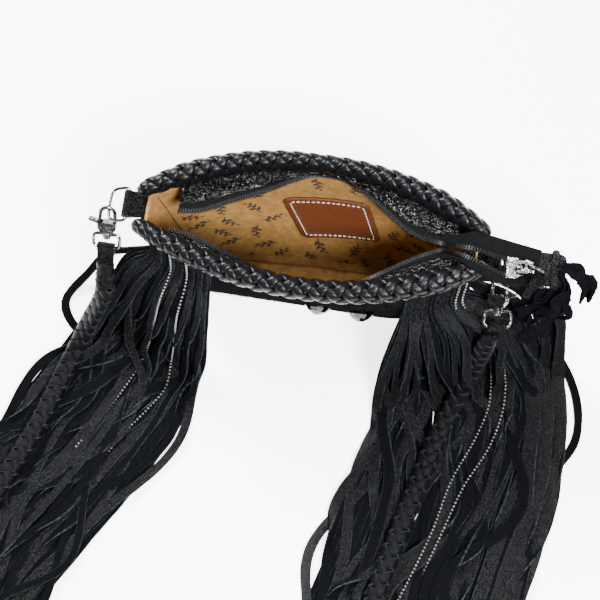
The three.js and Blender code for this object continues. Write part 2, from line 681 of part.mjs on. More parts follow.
const strapEnds = {};
ENDS.forEach((end) => {
  const droop = THREE.MathUtils.degToRad(end.droop);
  const outAndDown = vector(end.out * Math.cos(droop), 0, -Math.sin(droop));
  const barMiddle = vector(end.barX, end.barY, end.barZ);
  const { left, right } = sectionAt(end.barZ + TAB.wall);
  const tongue = Math.abs(end.barX - (end.out < 0 ? left : right)) - GAP;
  const tab = foldedStrip(WIRE_RADIUS + GAP, TAB.wall, tongue, TAB.width);
  tab.applyMatrix4(frameAt(barMiddle, vector(-end.out, 0, 0), vector(0, 1, 0)));
  add(`tab_${end.name}`, tab, BLACK_LEATHER);

  const loop = roundedLoop(D_RING).map(({ u, v }) => barMiddle.clone()
    .add(vector(0, u, 0)).addScaledVector(outAndDown, v));
  const flat = vector().crossVectors(outAndDown, vector(0, 1, 0)).normalize();
  add(`d_ring_${end.name}`, hoop(loop, flat, WIRE_RADIUS), SILVER);

  const up = end.hang.clone().normalize().negate();
  const gateSide = end.lever.clone().addScaledVector(up, -end.lever.dot(up));
  const snapFrame = frameAt(vector(), gateSide.negate(), up);
  const bearing = barMiddle.clone().addScaledVector(outAndDown, end.hookV).add(vector(0, end.hookU, 0));
  const inHook = vector(HOOK.ringX, 0, HOOK.ringZ).applyMatrix4(snapFrame);
  snapFrame.setPosition(bearing.sub(inHook));
  add(`snap_hook_${end.name}`, snapHook().applyMatrix4(snapFrame), SILVER);
  const toPivot = new THREE.Matrix4().makeTranslation(LEVER_PIVOT.x, 0, LEVER_PIVOT.z);
  const leverHinge = snapFrame.clone().multiply(toPivot);
  add(`snap_lever_${end.name}`, snapLever(), SILVER, leverHinge);
  const turned = new THREE.Matrix4().makeRotationZ(THREE.MathUtils.degToRad(end.swivel));
  const eyeFrame = snapFrame.clone().multiply(turned);
  add(`snap_eye_${end.name}`, snapEye().applyMatrix4(eyeFrame), SILVER);

  const eyeBar = vector(0, 0, HOOK.eyeTop - STRAP_EYE.reach).applyMatrix4(eyeFrame);
  const across = vector(1, 0, 0).transformDirection(eyeFrame);
  const strapEnd = foldedStrip(WIRE_RADIUS + GAP, 2, 14, STRAP.width - 3);
  const leave = end.strapWay.clone().addScaledVector(across, -across.dot(end.strapWay)).normalize();
  strapEnd.applyMatrix4(frameAt(eyeBar, leave, across));
  add(`strap_end_${end.name}`, strapEnd, BLACK_LEATHER);
  strapEnds[end.name] = [15.2, 25, 42].map((far) => eyeBar.clone().addScaledVector(leave, far));
});

// Braided strap: from the left snap down over the left fringe, round in front, and up to the right snap
const STRAP_ROUTE = [
  ...strapEnds.left,
  vector(-183, -68, 38),
  vector(-191, -82, 21),
  vector(-200, -105, 14),
  vector(-208, -131, 13),
  vector(-217, -157, 13),
  vector(-234, -198, 13),
  vector(-255, -250, 13),
  vector(-272, -310, 11),
  vector(-281, -370, 7),
  vector(-275, -430, 5.5),
  vector(-245, -486, 5.5),
  vector(-195, -526, 5.5),
  vector(-130, -548, 5.5),
  vector(-60, -545, 5.5),
  vector(0, -515, 5.5),
  vector(38, -465, 5.5),
  vector(52, -410, 6),
  vector(58, -355, 9),
  vector(65, -300, 12),
  vector(73, -251, 13),
  vector(87, -194, 13),
  vector(98, -153, 13),
  vector(109, -114, 14.5),
  vector(116, -95, 18),
  vector(123, -77, 32),
  vector(128, -65, 58),
  ...strapEnds.right.reverse(),
];

function strap() {
  const curve = new THREE.CatmullRomCurve3(STRAP_ROUTE, false, 'centripetal');
  const count = Math.round(curve.getLength() / STRAP.step);
  const path = curve.getSpacedPoints(count);
  const level = (along) => vector(-along.y, along.x, 0);
  return bar(path, () => [STRAP.width / 2, STRAP.thickness / 2], 8, level);
}

add('strap', strap(), BLACK_LEATHER);

// Fringes: a head band round each front corner under the rim, with strips that hang to the floor and lie
// forward on it. Each side's strips lie between an inner and an outer guide.
const HEAD = { bottom: 132, top: 149, wall: 2.2, gap: 0.5 };
const FRINGES = [
  {
    name: 'left', from: -82, to: -131,
    inner: [[-83, -56, 106], [-86, -63, 58], [-89, -75, 11], [-95, -100], [-104, -138], [-128, -185],
      [-165, -238], [-205, -300]],
    outer: [[-148, -20, 106], [-166, -22, 58], [-184, -34, 11], [-208, -80], [-232, -128], [-262, -180],
      [-292, -240], [-316, -305]],
    loose: [[-150, -17, 106], [-174, -9, 58], [-194, -18, 11], [-209, -40], [-199, -58], [-182, -66]],
  },
  {
    name: 'right', from: 66, to: 111,
    inner: [[62, -58, 106], [58, -64, 58], [56, -76, 11], [55, -100], [53, -142], [43, -192], [28, -242],
      [10, -305]],
    outer: [[146, -23, 108], [170, -27, 58], [188, -38, 11], [204, -76], [205, -120], [196, -177],
      [184, -236], [169, -305]],
    loose: [[128, -26, 106], [158, -24, 58], [192, -24, 11], [215, -58], [219, -100], [203, -131]],
  },
];
// Strips across a fringe: where between the guides, and in which layer of the pile
const STRIPS = [
  ...steps(6).map((share) => ({ share, layer: 0 })),
  ...steps(3).map((share) => ({ share: 0.1 + 0.8 * share, layer: 1 })),
];

/** A point in front of the front panel. */
function infront(x, height, distance) {
  return vector(x, -(depthAt(-1, x, height) + distance), height);
}

function headBand({ from, to }) {
  const rings = [HEAD.bottom, HEAD.top].map((height) => {
    const row = (distance) => steps(6).map((share) => infront(lerp(from, to, share), height, distance));
    return [...row(HEAD.gap), ...row(HEAD.gap + HEAD.wall).reverse()];
  });
  return skin(rings);
}

/** The way along the front panel at a head band, towards +X. */
function alongPanel(x) {
  return vector().subVectors(infront(x + 2, HEAD.bottom, 0), infront(x - 2, HEAD.bottom, 0)).normalize();
}

/** A route over the fringe: down from the head band, out to the floor and along it. It stands hangLift
    in front of the lowest strips where they hang, and floorLift above them where they lie. */
function fringeRoute(headX, headZ, start, points, hangLift, floorLift) {
  const top = infront(headX, headZ, start);
  const below = infront(headX, HEAD.bottom - 6, start + 1.5 + hangLift / 2);
  const route = points.map(([x, y, z = FLOOR]) => {
    const hangs = Math.min(1, z / 60);
    return vector(x, y - hangLift * hangs, z + floorLift * (1 - hangs));
  });
  return [top, below, ...route];
}

function between(fringe, share) {
  return fringe.inner.map((point, i) => point.map((value, k) => lerp(value, fringe.outer[i][k], share)));
}

FRINGES.forEach((fringe) => {
  const inBand = HEAD.gap + HEAD.wall / 2;
  const strip = (share, points, layer, width) => {
    const headX = lerp(fringe.from, fringe.to, 0.05 + 0.9 * share);
    const lift = layer * STRIP.layer;
    const route = fringeRoute(headX, HEAD.bottom + 6, inBand, points, lift, lift);
    return ribbon(route, [STRIP.headWidth, width], STRIP.thickness, STRIP.steps, alongPanel(headX));
  };
  const strips = STRIPS.map(({ share, layer }, i) => {
    const points = between(fringe, share);
    return strip(share, i % 3 === 1 ? points.slice(0, -1) : points, layer, STRIP.width);
  });
  const loose = strip(1, fringe.loose, 0, STRIP.width - 2.5);
  add(`fringe_${fringe.name}`, fused([headBand(fringe), ...strips, loose]), BLACK_SUEDE);
});

// Ball chains that hang in front of the head bands and lie on the fringes: where each starts along its
// band, and the points that it runs through
const CHAINS = [
  {
    name: 'ball_chain_left_a', headX: -99,
    points: [[-104, -64, 106], [-109, -72, 58], [-113, -86, 22], [-116, -103, 11], [-127, -121, 9],
      [-142, -142, 9], [-163, -176, 9]],
  },
  {
    name: 'ball_chain_left_b', headX: -112,
    points: [[-119, -54, 106], [-127, -63, 58], [-135, -80, 22], [-146, -101, 11], [-161, -129, 9],
      [-180, -160, 9]],
  },
  {
    name: 'ball_chain_right_a', headX: 104,
    points: [[117, -43, 106], [137, -50, 58], [146, -64, 22], [147, -86, 11], [139, -113, 9],
      [124, -148, 9], [113, -190, 9], [101, -225, 9], [92, -248, 9]],
  },
  {
    name: 'ball_chain_right_b', headX: 109,
    points: [[124, -39, 106], [147, -45, 58], [157, -60, 22], [159, -86, 11], [151, -118, 9],
      [134, -152, 9], [121, -190, 9], [110, -222, 9]],
  },
];

CHAINS.forEach(({ name, headX, points }) => {
  const onBand = HEAD.gap + HEAD.wall + GAP + CHAIN_RADIUS;
  const top = infront(headX, HEAD.top - 2, onBand);
  const below = infront(headX, HEAD.bottom - 6, onBand + 9.5);
  const route = [top, below, ...points.map((point) => vector(...point))];
  const path = new THREE.CatmullRomCurve3(route, false, 'centripetal').getSpacedPoints(18);
  add(name, bar(path, () => [CHAIN_RADIUS, CHAIN_RADIUS], 6, () => vector(1, 0.2, 0)), SILVER);
});

// Faceted silver conchos on the front panel
const CONCHOS = [{ name: 'concho_a', x: 1 }, { name: 'concho_b', x: 34 }];
const CONCHO = { radius: 10, rise: 7.5, height: 106, facets: 12 };

CONCHOS.forEach(({ name, x }) => {
  const { radius, rise, height, facets } = CONCHO;
  const profile = [[0, 0], [1, 0], [1, 0.2], [0.72, 0.6], [0.3, 0.9], [0, 1]]
    .map(([r, up]) => new THREE.Vector2(r * radius, up * rise));
  const stud = outward(merged(new THREE.LatheGeometry(profile, facets)));
  const surface = (dx, dz) => infront(x + dx, height + dz, 0);
  const along = vector().subVectors(surface(2, 0), surface(-2, 0));
  const rising = vector().subVectors(surface(0, 2), surface(0, -2));
  const outwards = vector().crossVectors(along, rising).normalize();
  const seat = surface(0, 0).addScaledVector(outwards, GAP + 0.2);
  const third = along.normalize().clone().cross(outwards).normalize();
  const place = new THREE.Matrix4().makeBasis(along, outwards, third);
  add(name, stud.applyMatrix4(place.setPosition(seat)), SILVER);
});

export default bag;
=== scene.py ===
"""Fringe crossbody bag, standing open with its fringes and its braided strap laid forward."""
import math
import random

import bmesh
import bpy
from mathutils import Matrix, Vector, noise


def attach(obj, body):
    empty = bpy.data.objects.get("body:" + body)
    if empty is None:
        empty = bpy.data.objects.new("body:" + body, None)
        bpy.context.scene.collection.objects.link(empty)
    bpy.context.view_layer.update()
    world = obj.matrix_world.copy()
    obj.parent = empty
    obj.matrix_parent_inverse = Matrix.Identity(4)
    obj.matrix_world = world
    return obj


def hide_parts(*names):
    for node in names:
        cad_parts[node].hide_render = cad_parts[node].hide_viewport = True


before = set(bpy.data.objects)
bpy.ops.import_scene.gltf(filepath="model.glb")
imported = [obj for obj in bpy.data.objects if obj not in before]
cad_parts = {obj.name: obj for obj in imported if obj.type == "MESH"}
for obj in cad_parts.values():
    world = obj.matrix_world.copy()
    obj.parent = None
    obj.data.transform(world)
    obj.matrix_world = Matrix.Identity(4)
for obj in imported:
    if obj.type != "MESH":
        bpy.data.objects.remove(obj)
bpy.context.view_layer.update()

# Camera: above and in front of the bag, a little to its right, with a long lens.
# The picture is square.
camera_data = bpy.data.cameras.new("photo_camera")
camera_data.sensor_width = 36
camera_data.lens = 91.08
camera = bpy.data.objects.new("photo_camera", camera_data)
camera.location = (0.0262, -0.3383, 1.2255)
aim = Vector((-0.011, -0.056, 0.163))
camera.rotation_euler = (aim - camera.location).to_track_quat("-Z", "Y").to_euler()
bpy.context.scene.collection.objects.link(camera)
bpy.context.scene.camera = camera

# Studio: a glowing white floor like a light table, and four round soft lamps: two strong ones, behind
# at the left and in front at the right, and two small weak ones high above the bag.
MM = 0.001
LAMP_AIM = Vector((0, -0.1, 0.1))


def shader(name, roughness, **sockets):
    """A new material and its main shader, with plain values on the named sockets."""
    made = bpy.data.materials.new(name)
    made.use_nodes = True
    main = made.node_tree.nodes["Principled BSDF"]
    main.inputs["Roughness"].default_value = roughness
    for socket, value in sockets.items():
        main.inputs[socket.replace("_", " ")].default_value = value
    return made, main


floor_mesh = bpy.data.meshes.new("floor")
floor_mesh.from_pydata([(-30, -30, 0), (30, -30, 0), (30, 30, 0), (-30, 30, 0)], [], [(0, 1, 2, 3)])
floor = bpy.data.objects.new("floor", floor_mesh)
WHITE = (1, 1, 1, 1)
floor_finish, _ = shader("floor_finish", 0.7, Base_Color=WHITE, Emission_Color=WHITE, Emission_Strength=3.6)
floor_mesh.materials.append(floor_finish)
bpy.context.scene.collection.objects.link(floor)


def lamp(name, place, size, power):
    """A round lamp that points at the bag."""
    data = bpy.data.lights.new(name, "AREA")
    data.shape = "DISK"
    data.size = size
    data.energy = power
    made = bpy.data.objects.new(name, data)
    made.location = place
    made.rotation_euler = (LAMP_AIM - made.location).to_track_quat("-Z", "Y").to_euler()
    bpy.context.scene.collection.objects.link(made)


lamp("key_lamp", (-1.0, 0.95, 1.35), 0.5, 125)
lamp("fill_lamp", (0.55, -0.8, 1.65), 0.6, 125)
lamp("back_lamp", (0.1, 0.66, 2.0), 0.16, 18)
lamp("top_lamp", (0.05, 0.17, 2.1), 0.2, 26)
world = bpy.data.worlds.new("studio")
bpy.context.scene.world = world
world.use_nodes = True
world.node_tree.nodes["Background"].inputs["Color"].default_value = WHITE
world.node_tree.nodes["Background"].inputs["Strength"].default_value = 0.16

# Panels: two sides of black leather, hair-on hide at the front and grained at the back, cut to the
# bag's outline and sewn to the gusset. They bulge in the middle, where the mouth is held open.
WALL = 2.0
LINING_GAP = 0.9
LINING_WALL = 1.2
PANEL_TOP = 153
COLUMNS = ("height", "left", "right", "end", "front", "front_peak", "back", "back_peak")
SECTIONS = [
    dict(zip(COLUMNS, row))
    for row in (
        (0, -94, 98, 15, 16.5, 46, 17, 0),
        (4, -101, 103, 15, 17.5, 46, 19, 0),
        (14, -107, 107, 15, 20.5, 48, 24, -2),
        (50, -117, 111, 14.5, 31, 50, 36, -5),
        (100, -127, 114, 14.5, 43, 42, 46, -10),
        (130, -133, 116, 15, 49, 14, 50.5, -12),
        (PANEL_TOP, -137, 117, 15, 48, -5, 53, -12),
    )
]
HEIGHTS = [row["height"] for row in SECTIONS]


def lerp(a, b, share):
    return a + (b - a) * share


def steps(count):
    return [i / count for i in range(count + 1)]


def section_at(height):
    """The bag's outline at a height, straight between the table's rows."""
    height = min(max(height, 0), PANEL_TOP)
    above = next(i for i in range(1, len(SECTIONS)) if HEIGHTS[i] >= height)
    low, high = SECTIONS[above - 1], SECTIONS[above]
    share = (height - low["height"]) / (high["height"] - low["height"])
    return {key: lerp(low[key], high[key], share) for key in COLUMNS}


def depth_at(side, x, height):
    """How far the outside of the front (side -1) or the back (side 1) lies from the middle plane."""
    section = section_at(height)
    way = "front" if side < 0 else "back"
    peak = section[way + "_peak"]
    reach = (section["left"] if x < peak else section["right"]) - peak
    share = min(abs((x - peak) / reach), 1)
    return section["end"] + (section[way] - section["end"]) * (1 - share**2)


def wall_point(side, across, height, inset, end_inset=0):
    """A point of a panel at a share of its width, inset from its outside and from its ends."""
    section = section_at(height)
    x = lerp(section["left"] + end_inset, section["right"] - end_inset, across)
    return Vector((x, side * (depth_at(side, x, height) - inset), height))


def piece(
    name, points, faces, finishes, nodes=(), body="bag", finish_of=None, smooth=True, crease=None
):
    """A mesh in millimetres as a piece of the bag that stands for the named nodes. Edges that turn by
    more than crease degrees stay sharp."""
    mesh = bpy.data.meshes.new(name)
    mesh.from_pydata([Vector(point) * MM for point in points], [], faces)
    for finish in finishes:
        mesh.materials.append(finish)
    for i, polygon in enumerate(mesh.polygons):
        polygon.use_smooth = smooth
        if finish_of:
            polygon.material_index = finish_of[i]
    closed = bmesh.new()
    closed.from_mesh(mesh)
    bmesh.ops.recalc_face_normals(closed, faces=closed.faces)
    closed.to_mesh(mesh)
    closed.free()
    if crease:
        mesh.set_sharp_from_angle(angle=math.radians(crease))
    made = bpy.data.objects.new(name, mesh)
    bpy.context.scene.collection.objects.link(made)
    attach(made, body)
    if nodes:
        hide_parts(*nodes)
    return made


class Build:
    """Points and faces that grow into one piece."""

    def __init__(self):
        self.points = []
        self.faces = []
        self.finish_of = []

    def skin(self, rings, finish_of=None):
        """Joins rings of equally many points and caps both ends. finish_of gives the finish of each side
        of a ring."""
        start = len(self.points)
        count = len(rings[0])
        for ring in rings:
            self.points.extend(ring)
        last = start + (len(rings) - 1) * count
        for here in range(start, last, count):
            there = here + count
            for j in range(count):
                k = (j + 1) % count
                self.faces.append((here + j, here + k, there + k, there + j))
                self.finish_of.append(finish_of[j] if finish_of else 0)
        self.faces.append(tuple(range(start + count - 1, start - 1, -1)))
        self.faces.append(tuple(range(last, last + count)))
        self.finish_of.extend([0, 0])

    def box(self, middle, along, across, up, size):
        """A block with its sizes along three directions."""
        corners = [(-1, -1), (1, -1), (1, 1), (-1, 1)]
        rings = [
            [
                middle + along * (end * size[0] / 2) + across * (a * size[1] / 2) + up * (b * size[2] / 2)
                for a, b in corners
            ]
            for end in (-1, 1)
        ]
        self.skin(rings)

    def piece(self, name, finishes, slot, nodes=(), smooth=True, crease=None):
        piece(
            name, self.points, self.faces, finishes, nodes,
            finish_of=self.finish_of, smooth=smooth, crease=crease,
        )


def mapped(tree, size):
    """Object coordinates over a size or over one for each axis, so that a pattern keeps its real size."""
    sizes = size if hasattr(size, "__len__") else (size,) * 3
    place = tree.nodes.new("ShaderNodeTexCoord")
    grow = tree.nodes.new("ShaderNodeVectorMath")
    grow.operation = "MULTIPLY"
    grow.inputs[1].default_value = [1 / part for part in sizes]
    tree.links.new(place.outputs["Object"], grow.inputs[0])
    return grow.outputs["Vector"]


def tinted(made, main, colours, size, stops):
    """Base colour that drifts between two colours in patches. size is that of five patches, in metres."""
    tree = made.node_tree
    patches = tree.nodes.new("ShaderNodeTexNoise")
    patches.inputs["Detail"].default_value = 4
    tree.links.new(mapped(tree, size), patches.inputs["Vector"])
    ramp = tree.nodes.new("ShaderNodeValToRGB")
    for element, stop, colour in zip(ramp.color_ramp.elements, stops, colours):
        element.position = stop
        element.color = (*colour, 1)
    tree.links.new(patches.outputs["Fac"], ramp.inputs["Fac"])
    tree.links.new(ramp.outputs["Color"], main.inputs["Base Color"])


def bumped(made, main, reliefs):
    """Surface relief. Each relief is (kind, size of five cells, depth, strength), in metres."""
    tree = made.node_tree
    normal = None
    for kind, size, depth, strength in reliefs:
        if kind == "pebble":
            cells = tree.nodes.new("ShaderNodeTexVoronoi")
            cells.feature = "SMOOTH_F1"
            value = cells.outputs["Distance"]
        else:
            cells = tree.nodes.new("ShaderNodeTexNoise")
            cells.inputs["Detail"].default_value = 5
            value = cells.outputs["Fac"]
        tree.links.new(mapped(tree, size), cells.inputs["Vector"])
        bump = tree.nodes.new("ShaderNodeBump")
        bump.invert = kind == "pebble"
        bump.inputs["Strength"].default_value = strength
        bump.inputs["Distance"].default_value = depth
        tree.links.new(value, bump.inputs["Height"])
        if normal:
            tree.links.new(normal, bump.inputs["Normal"])
        normal = bump.outputs["Normal"]
    if normal:
        tree.links.new(normal, main.inputs["Normal"])


def surface(name, roughness, colours, size, stops=(0.35, 0.65), reliefs=(), **sockets):
    """A new material with its colours in patches, its reliefs and plain values on the named sockets."""
    made, main = shader(name, roughness, **sockets)
    tinted(made, main, colours, size, stops)
    bumped(made, main, reliefs)
    return made


def leather(name, colours, roughness, pebble, depth, strength=0.7, **sockets):
    """Grained leather with flecks of tone, pebbles and fine creases. pebble is five pebbles' size."""
    reliefs = [("pebble", pebble, depth, strength), ("crease", 0.008, depth * 1.5, 0.35)]
    return surface(name, roughness, colours, pebble * 1.8, (0.4, 0.68), reliefs, **sockets)


smooth_black = leather(
    "smooth_black", [(0.0003, 0.0003, 0.0004), (0.017, 0.0172, 0.019)], 0.34, 0.0032, 0.0022, 1.0,
    Specular_IOR_Level=0.02,
)
hide_black = leather(
    "hide_black", [(0.0006, 0.0006, 0.0007), (0.0015, 0.0015, 0.0018)], 1.0, 0.002, 0.0003,
    Specular_IOR_Level=0.0,
)
PANEL_ROWS = 56
PANEL_COLUMNS = 48


def panel(node, side, finish, slot):
    build = Build()
    rings = []
    for share in steps(PANEL_ROWS):
        height = PANEL_TOP * share
        outer = [wall_point(side, across, height, 0) for across in steps(PANEL_COLUMNS)]
        inner = [wall_point(side, across, height, WALL) for across in steps(PANEL_COLUMNS)]
        rings.append(outer + inner[::-1])
    build.skin(rings)
    build.piece(node + "_leather", [finish], slot, [node])


panel("front_panel", -1, hide_black, "hair_hide")
panel("back_panel", 1, smooth_black, "black_leather")

# Hair of the hide: short black cow hair, left on the leather, that lies downwards over the front. It is
# left off round the studs.
HAIR = {"count": 15000, "length": (6, 10), "width": 0.5, "lift": 1.5}
hair_black = surface(
    "hair_black", 0.8, [(0.0012, 0.0012, 0.0014), (0.009, 0.0092, 0.0105)], 0.003, Specular_IOR_Level=0.0
)
CONCHOS = ("concho_a", "concho_b")
STUDS = [sum(corner[0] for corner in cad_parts[name].bound_box) / 8 / MM for name in CONCHOS]
STUD_ROOM = {"low": 92, "high": 126, "beside": 10}
draw = random.Random(3)
hair = Build()
for _ in range(HAIR["count"]):
    across = draw.uniform(0.005, 0.995)
    height = draw.uniform(6, PANEL_TOP)
    root = wall_point(-1, across, height, 0)
    beside_stud = any(abs(root.x - x) < STUD_ROOM["beside"] for x in STUDS)
    if beside_stud and STUD_ROOM["low"] < height < STUD_ROOM["high"]:
        continue
    length = draw.uniform(*HAIR["length"])
    lean = draw.uniform(-0.02, 0.02) + 0.012 * noise.noise(Vector((across * 9, height / 30, 0)))
    middle = wall_point(-1, across + lean / 2, max(height - length * 0.5, 0.5), -HAIR["lift"] * 0.7)
    tip = wall_point(-1, across + lean, max(height - length, 0.5), -HAIR["lift"] * draw.uniform(0.4, 1))
    wide = Vector((HAIR["width"] / 2, 0, 0))
    start = len(hair.points)
    hair.points.extend([root - wide, root + wide, middle + wide, middle - wide, tip])
    hair.faces.extend([(start, start + 1, start + 2, start + 3), (start + 3, start + 2, start + 4)])
    hair.finish_of.extend([0, 0])
hair.piece("front_hair", [hair_black], "hair_hide")

# Gusset: one strip of black leather that makes both ends and the flat base, sewn to the two panels.
# Its cut edges are softened.


def remade(node, finish, body="bag", bevel=0.0, rounds=0, smooth=True):
    """A clean copy of a node with softened edges or rounded facets, in its place."""
    clean = bmesh.new()
    clean.from_mesh(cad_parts[node].data)
    bmesh.ops.remove_doubles(clean, verts=clean.verts, dist=1e-6)
    flat = math.radians(1)
    bmesh.ops.dissolve_limit(clean, angle_limit=flat, verts=clean.verts, edges=clean.edges)
    clean.verts.index_update()
    points = [vertex.co / MM for vertex in clean.verts]
    faces = [tuple(vertex.index for vertex in face.verts) for face in clean.faces]
    clean.free()
    made = piece(node + "_finished", points, faces, [finish], [node], body, smooth=smooth)
    if bevel:
        soft = made.modifiers.new("soft_edges", "BEVEL")
        soft.width = bevel * MM
        soft.segments = 2
        soft.limit_method = "ANGLE"
        soft.angle_limit = math.radians(28)
        made.modifiers.new("even_shading", "WEIGHTED_NORMAL")
    if rounds:
        rounded = made.modifiers.new("round", "SUBSURF")
        rounded.levels = rounds
        rounded.render_levels = rounds


remade("gusset", smooth_black, bevel=0.5)

# Lining: a tan suede bag sewn inside the leather, a little slack, and drawn in at its base. TUCKS gives
# how far it is drawn in at its ends at each height.
LINING_FACE = WALL + LINING_GAP + LINING_WALL
LINING_COLUMNS = 44
TUCKS = [(WALL + LINING_GAP, 7), (7, 3), (14, 1), (50, 0), (PANEL_TOP, 0)]
tan_suede = surface(
    "tan_suede", 0.9, [(0.2, 0.107, 0.03), (0.27, 0.15, 0.047)], 0.03,
    reliefs=[("nap", 0.0009, 0.0004, 0.55), ("crease", 0.02, 0.002, 0.4)], Specular_IOR_Level=0.1,
)


def table_value(table, place):
    """The value at a place, straight between the rows of a table of places and values."""
    for (low, first), (high, second) in zip(table, table[1:]):
        if place <= high:
            return lerp(first, second, (place - low) / (high - low))
    return table[-1][1]


def lining_point(side, across, height, inset):
    """A point of the lining. Its inner face hangs a little slack."""
    point = wall_point(side, across, height, inset, inset + table_value(TUCKS, height))
    if inset > WALL + LINING_GAP:
        slack = noise.noise(Vector((point.x / 26, side * 5, height / 34)))
        point.y -= side * max(0, slack) * 1.6 * min(1, (PANEL_TOP - height) / 30)
    return point


def lining_ring(height, inset, rise=0):
    front = [lining_point(-1, across, height, inset) for across in steps(LINING_COLUMNS)]
    back = [lining_point(1, across, height, inset) for across in steps(LINING_COLUMNS)][::-1]
    return [point + Vector((0, 0, rise)) for point in front + back]


heights = [lerp(WALL + LINING_GAP, PANEL_TOP - 0.3, share**1.4) for share in steps(34)]
outer = [lining_ring(height, WALL + LINING_GAP) for height in heights]
inner = [lining_ring(height, LINING_FACE, LINING_WALL * max(0, 1 - height / 14)) for height in heights]
lining = Build()
lining.skin(outer + inner[::-1])
lining.piece("lining_suede", [tan_suede], "tan_suede", ["lining"])

# Printed sprigs and seams: small dark-brown leaf sprigs printed on the suede in staggered rows, each
# turned its own way, and the lining's sewn seams along its base and up its corners.
SPRIG = {
    "stem": 17, "leaf": 6.2, "width": 1.1,
    "rows": 7, "columns": 11, "first": (-112, 16), "apart": (25, 19),
}
print_brown = surface("print_brown", 0.9, [(0.016, 0.008, 0.004), (0.035, 0.018, 0.008)], 0.004)
draw = random.Random(11)
LABEL = {
    "top_left": (-38, 103),
    "top_right": (30, 114),
    "bottom_left": (-20, 44),
    "bottom_right": (44, 58),
    "clear_across": (-44, 50),
    "clear_up": (38, 121),
}


def sprig_marks():
    """Flat strokes of one sprig round (0, 0): a bent stem and leaves in pairs, as lists of corners."""
    half = SPRIG["stem"] / 2
    bend = draw.uniform(-0.03, 0.03)
    spine = [(x, bend * x * x) for x in (lerp(-half, half, share) for share in steps(6))]
    thin = SPRIG["width"] / 2
    marks = [
        [(ax, ay - thin), (bx, by - thin), (bx, by + thin), (ax, ay + thin)]
        for (ax, ay), (bx, by) in zip(spine, spine[1:])
    ]
    for i, (x, y) in enumerate(spine[1:]):
        side = 1 if i % 2 else -1
        reach = SPRIG["leaf"] * (1 - 0.08 * i)
        tip = (x + 0.75 * reach, y + side * 0.8 * reach)
        near = (x + 0.12 * reach, y + side * 0.55 * reach)
        far = (x + 0.62 * reach, y + side * 0.22 * reach)
        marks.append([(x, y), far, tip, near])
    return marks


def under_label(x, height):
    left, right = LABEL["clear_across"]
    low, high = LABEL["clear_up"]
    return left < x < right and low < height < high


prints = Build()
first_x, first_height = SPRIG["first"]
for side in (-1, 1):
    for row in range(SPRIG["rows"]):
        for column in range(SPRIG["columns"]):
            x = first_x + column * SPRIG["apart"][0] + draw.uniform(-6, 6) + (row % 2) * 11
            height = first_height + row * SPRIG["apart"][1] + draw.uniform(-4, 4)
            turn = draw.uniform(0, 2 * math.pi)
            marks = sprig_marks()
            section = section_at(height)
            if side > 0 and under_label(x, height):
                continue
            if not section["left"] + 16 < x < section["right"] - 16:
                continue
            for mark in marks:
                start = len(prints.points)
                for u, v in mark:
                    px = x + u * math.cos(turn) - v * math.sin(turn)
                    pz = min(max(height + u * math.sin(turn) + v * math.cos(turn), 15), PANEL_TOP - 6)
                    section = section_at(pz)
                    span = section["right"] - section["left"] - 2 * LINING_FACE
                    across = (px - section["left"] - LINING_FACE) / span
                    point = lining_point(side, across, pz, LINING_FACE)
                    point.y -= side * 0.35
                    prints.points.append(point)
                prints.faces.append(tuple(range(start, start + len(mark))))
                prints.finish_of.append(0)
prints.piece("lining_print", [print_brown], "tan_suede", smooth=False)


def smooth_line(points, step=None, count=None):
    """Evenly spaced points along a smooth curve through the given ones."""
    points = [Vector(point) for point in points]
    knots = [points[0] * 2 - points[1], *points, points[-1] * 2 - points[-2]]
    fine = []
    for p0, p1, p2, p3 in zip(knots, knots[1:], knots[2:], knots[3:]):
        t1 = (p1 - p0).length ** 0.5
        t2 = t1 + (p2 - p1).length ** 0.5
        t3 = t2 + (p3 - p2).length ** 0.5
        for share in steps(20)[:-1]:
            t = lerp(t1, t2, share)
            a1 = p0.lerp(p1, t / t1)
            a2 = p1.lerp(p2, (t - t1) / (t2 - t1))
            a3 = p2.lerp(p3, (t - t2) / (t3 - t2))
            b1 = a1.lerp(a2, t / t2)
            b2 = a2.lerp(a3, (t - t1) / (t3 - t1))
            fine.append(b1.lerp(b2, (t - t1) / (t2 - t1)))
    fine.append(points[-1])
    travelled = [0.0]
    for before, after in zip(fine, fine[1:]):
        travelled.append(travelled[-1] + (after - before).length)
    count = count or max(2, round(travelled[-1] / step))
    line = []
    k = 0
    for share in steps(count):
        target = share * travelled[-1]
        while k < len(fine) - 2 and travelled[k + 1] < target:
            k += 1
        line.append(fine[k].lerp(fine[k + 1], (target - travelled[k]) / (travelled[k + 1] - travelled[k])))
    return line


def tangents(line):
    last = len(line) - 1
    return [(line[min(i + 1, last)] - line[max(i - 1, 0)]).normalized() for i in range(len(line))]


def sweep(build, line, normals, section, finish_of=None, scale=None):
    """Draws a flat section, given as (across, out) pairs, along a line with its own way out."""
    rings = []
    for i, (point, along, out) in enumerate(zip(line, tangents(line), normals)):
        across = out.cross(along).normalized()
        out = along.cross(across)
        grow = scale(i) if scale else 1
        rings.append([point + (across * u + out * v) * grow for u, v in section])
    build.skin(rings, finish_of)


def circle(radius, sides):
    turns = [2 * math.pi * i / sides for i in range(sides)]
    return [(radius * math.cos(turn), radius * math.sin(turn)) for turn in turns]


def stitches(build, line, normals, pitch, length, radius):
    """A row of thread stitches along a line: short rounded rods, one for each pitch."""
    travelled = 0.0
    ways = tangents(line)
    for i in range(1, len(line)):
        travelled += (line[i] - line[i - 1]).length
        if travelled < pitch:
            continue
        travelled = 0.0
        rod = [line[i] + ways[i] * (length * share) for share in (-0.5, -0.36, 0.36, 0.5)]
        swell = (0.3, 1, 1, 0.3)
        sweep(build, rod, [normals[i]] * 4, circle(radius, 6), scale=lambda k: swell[k])


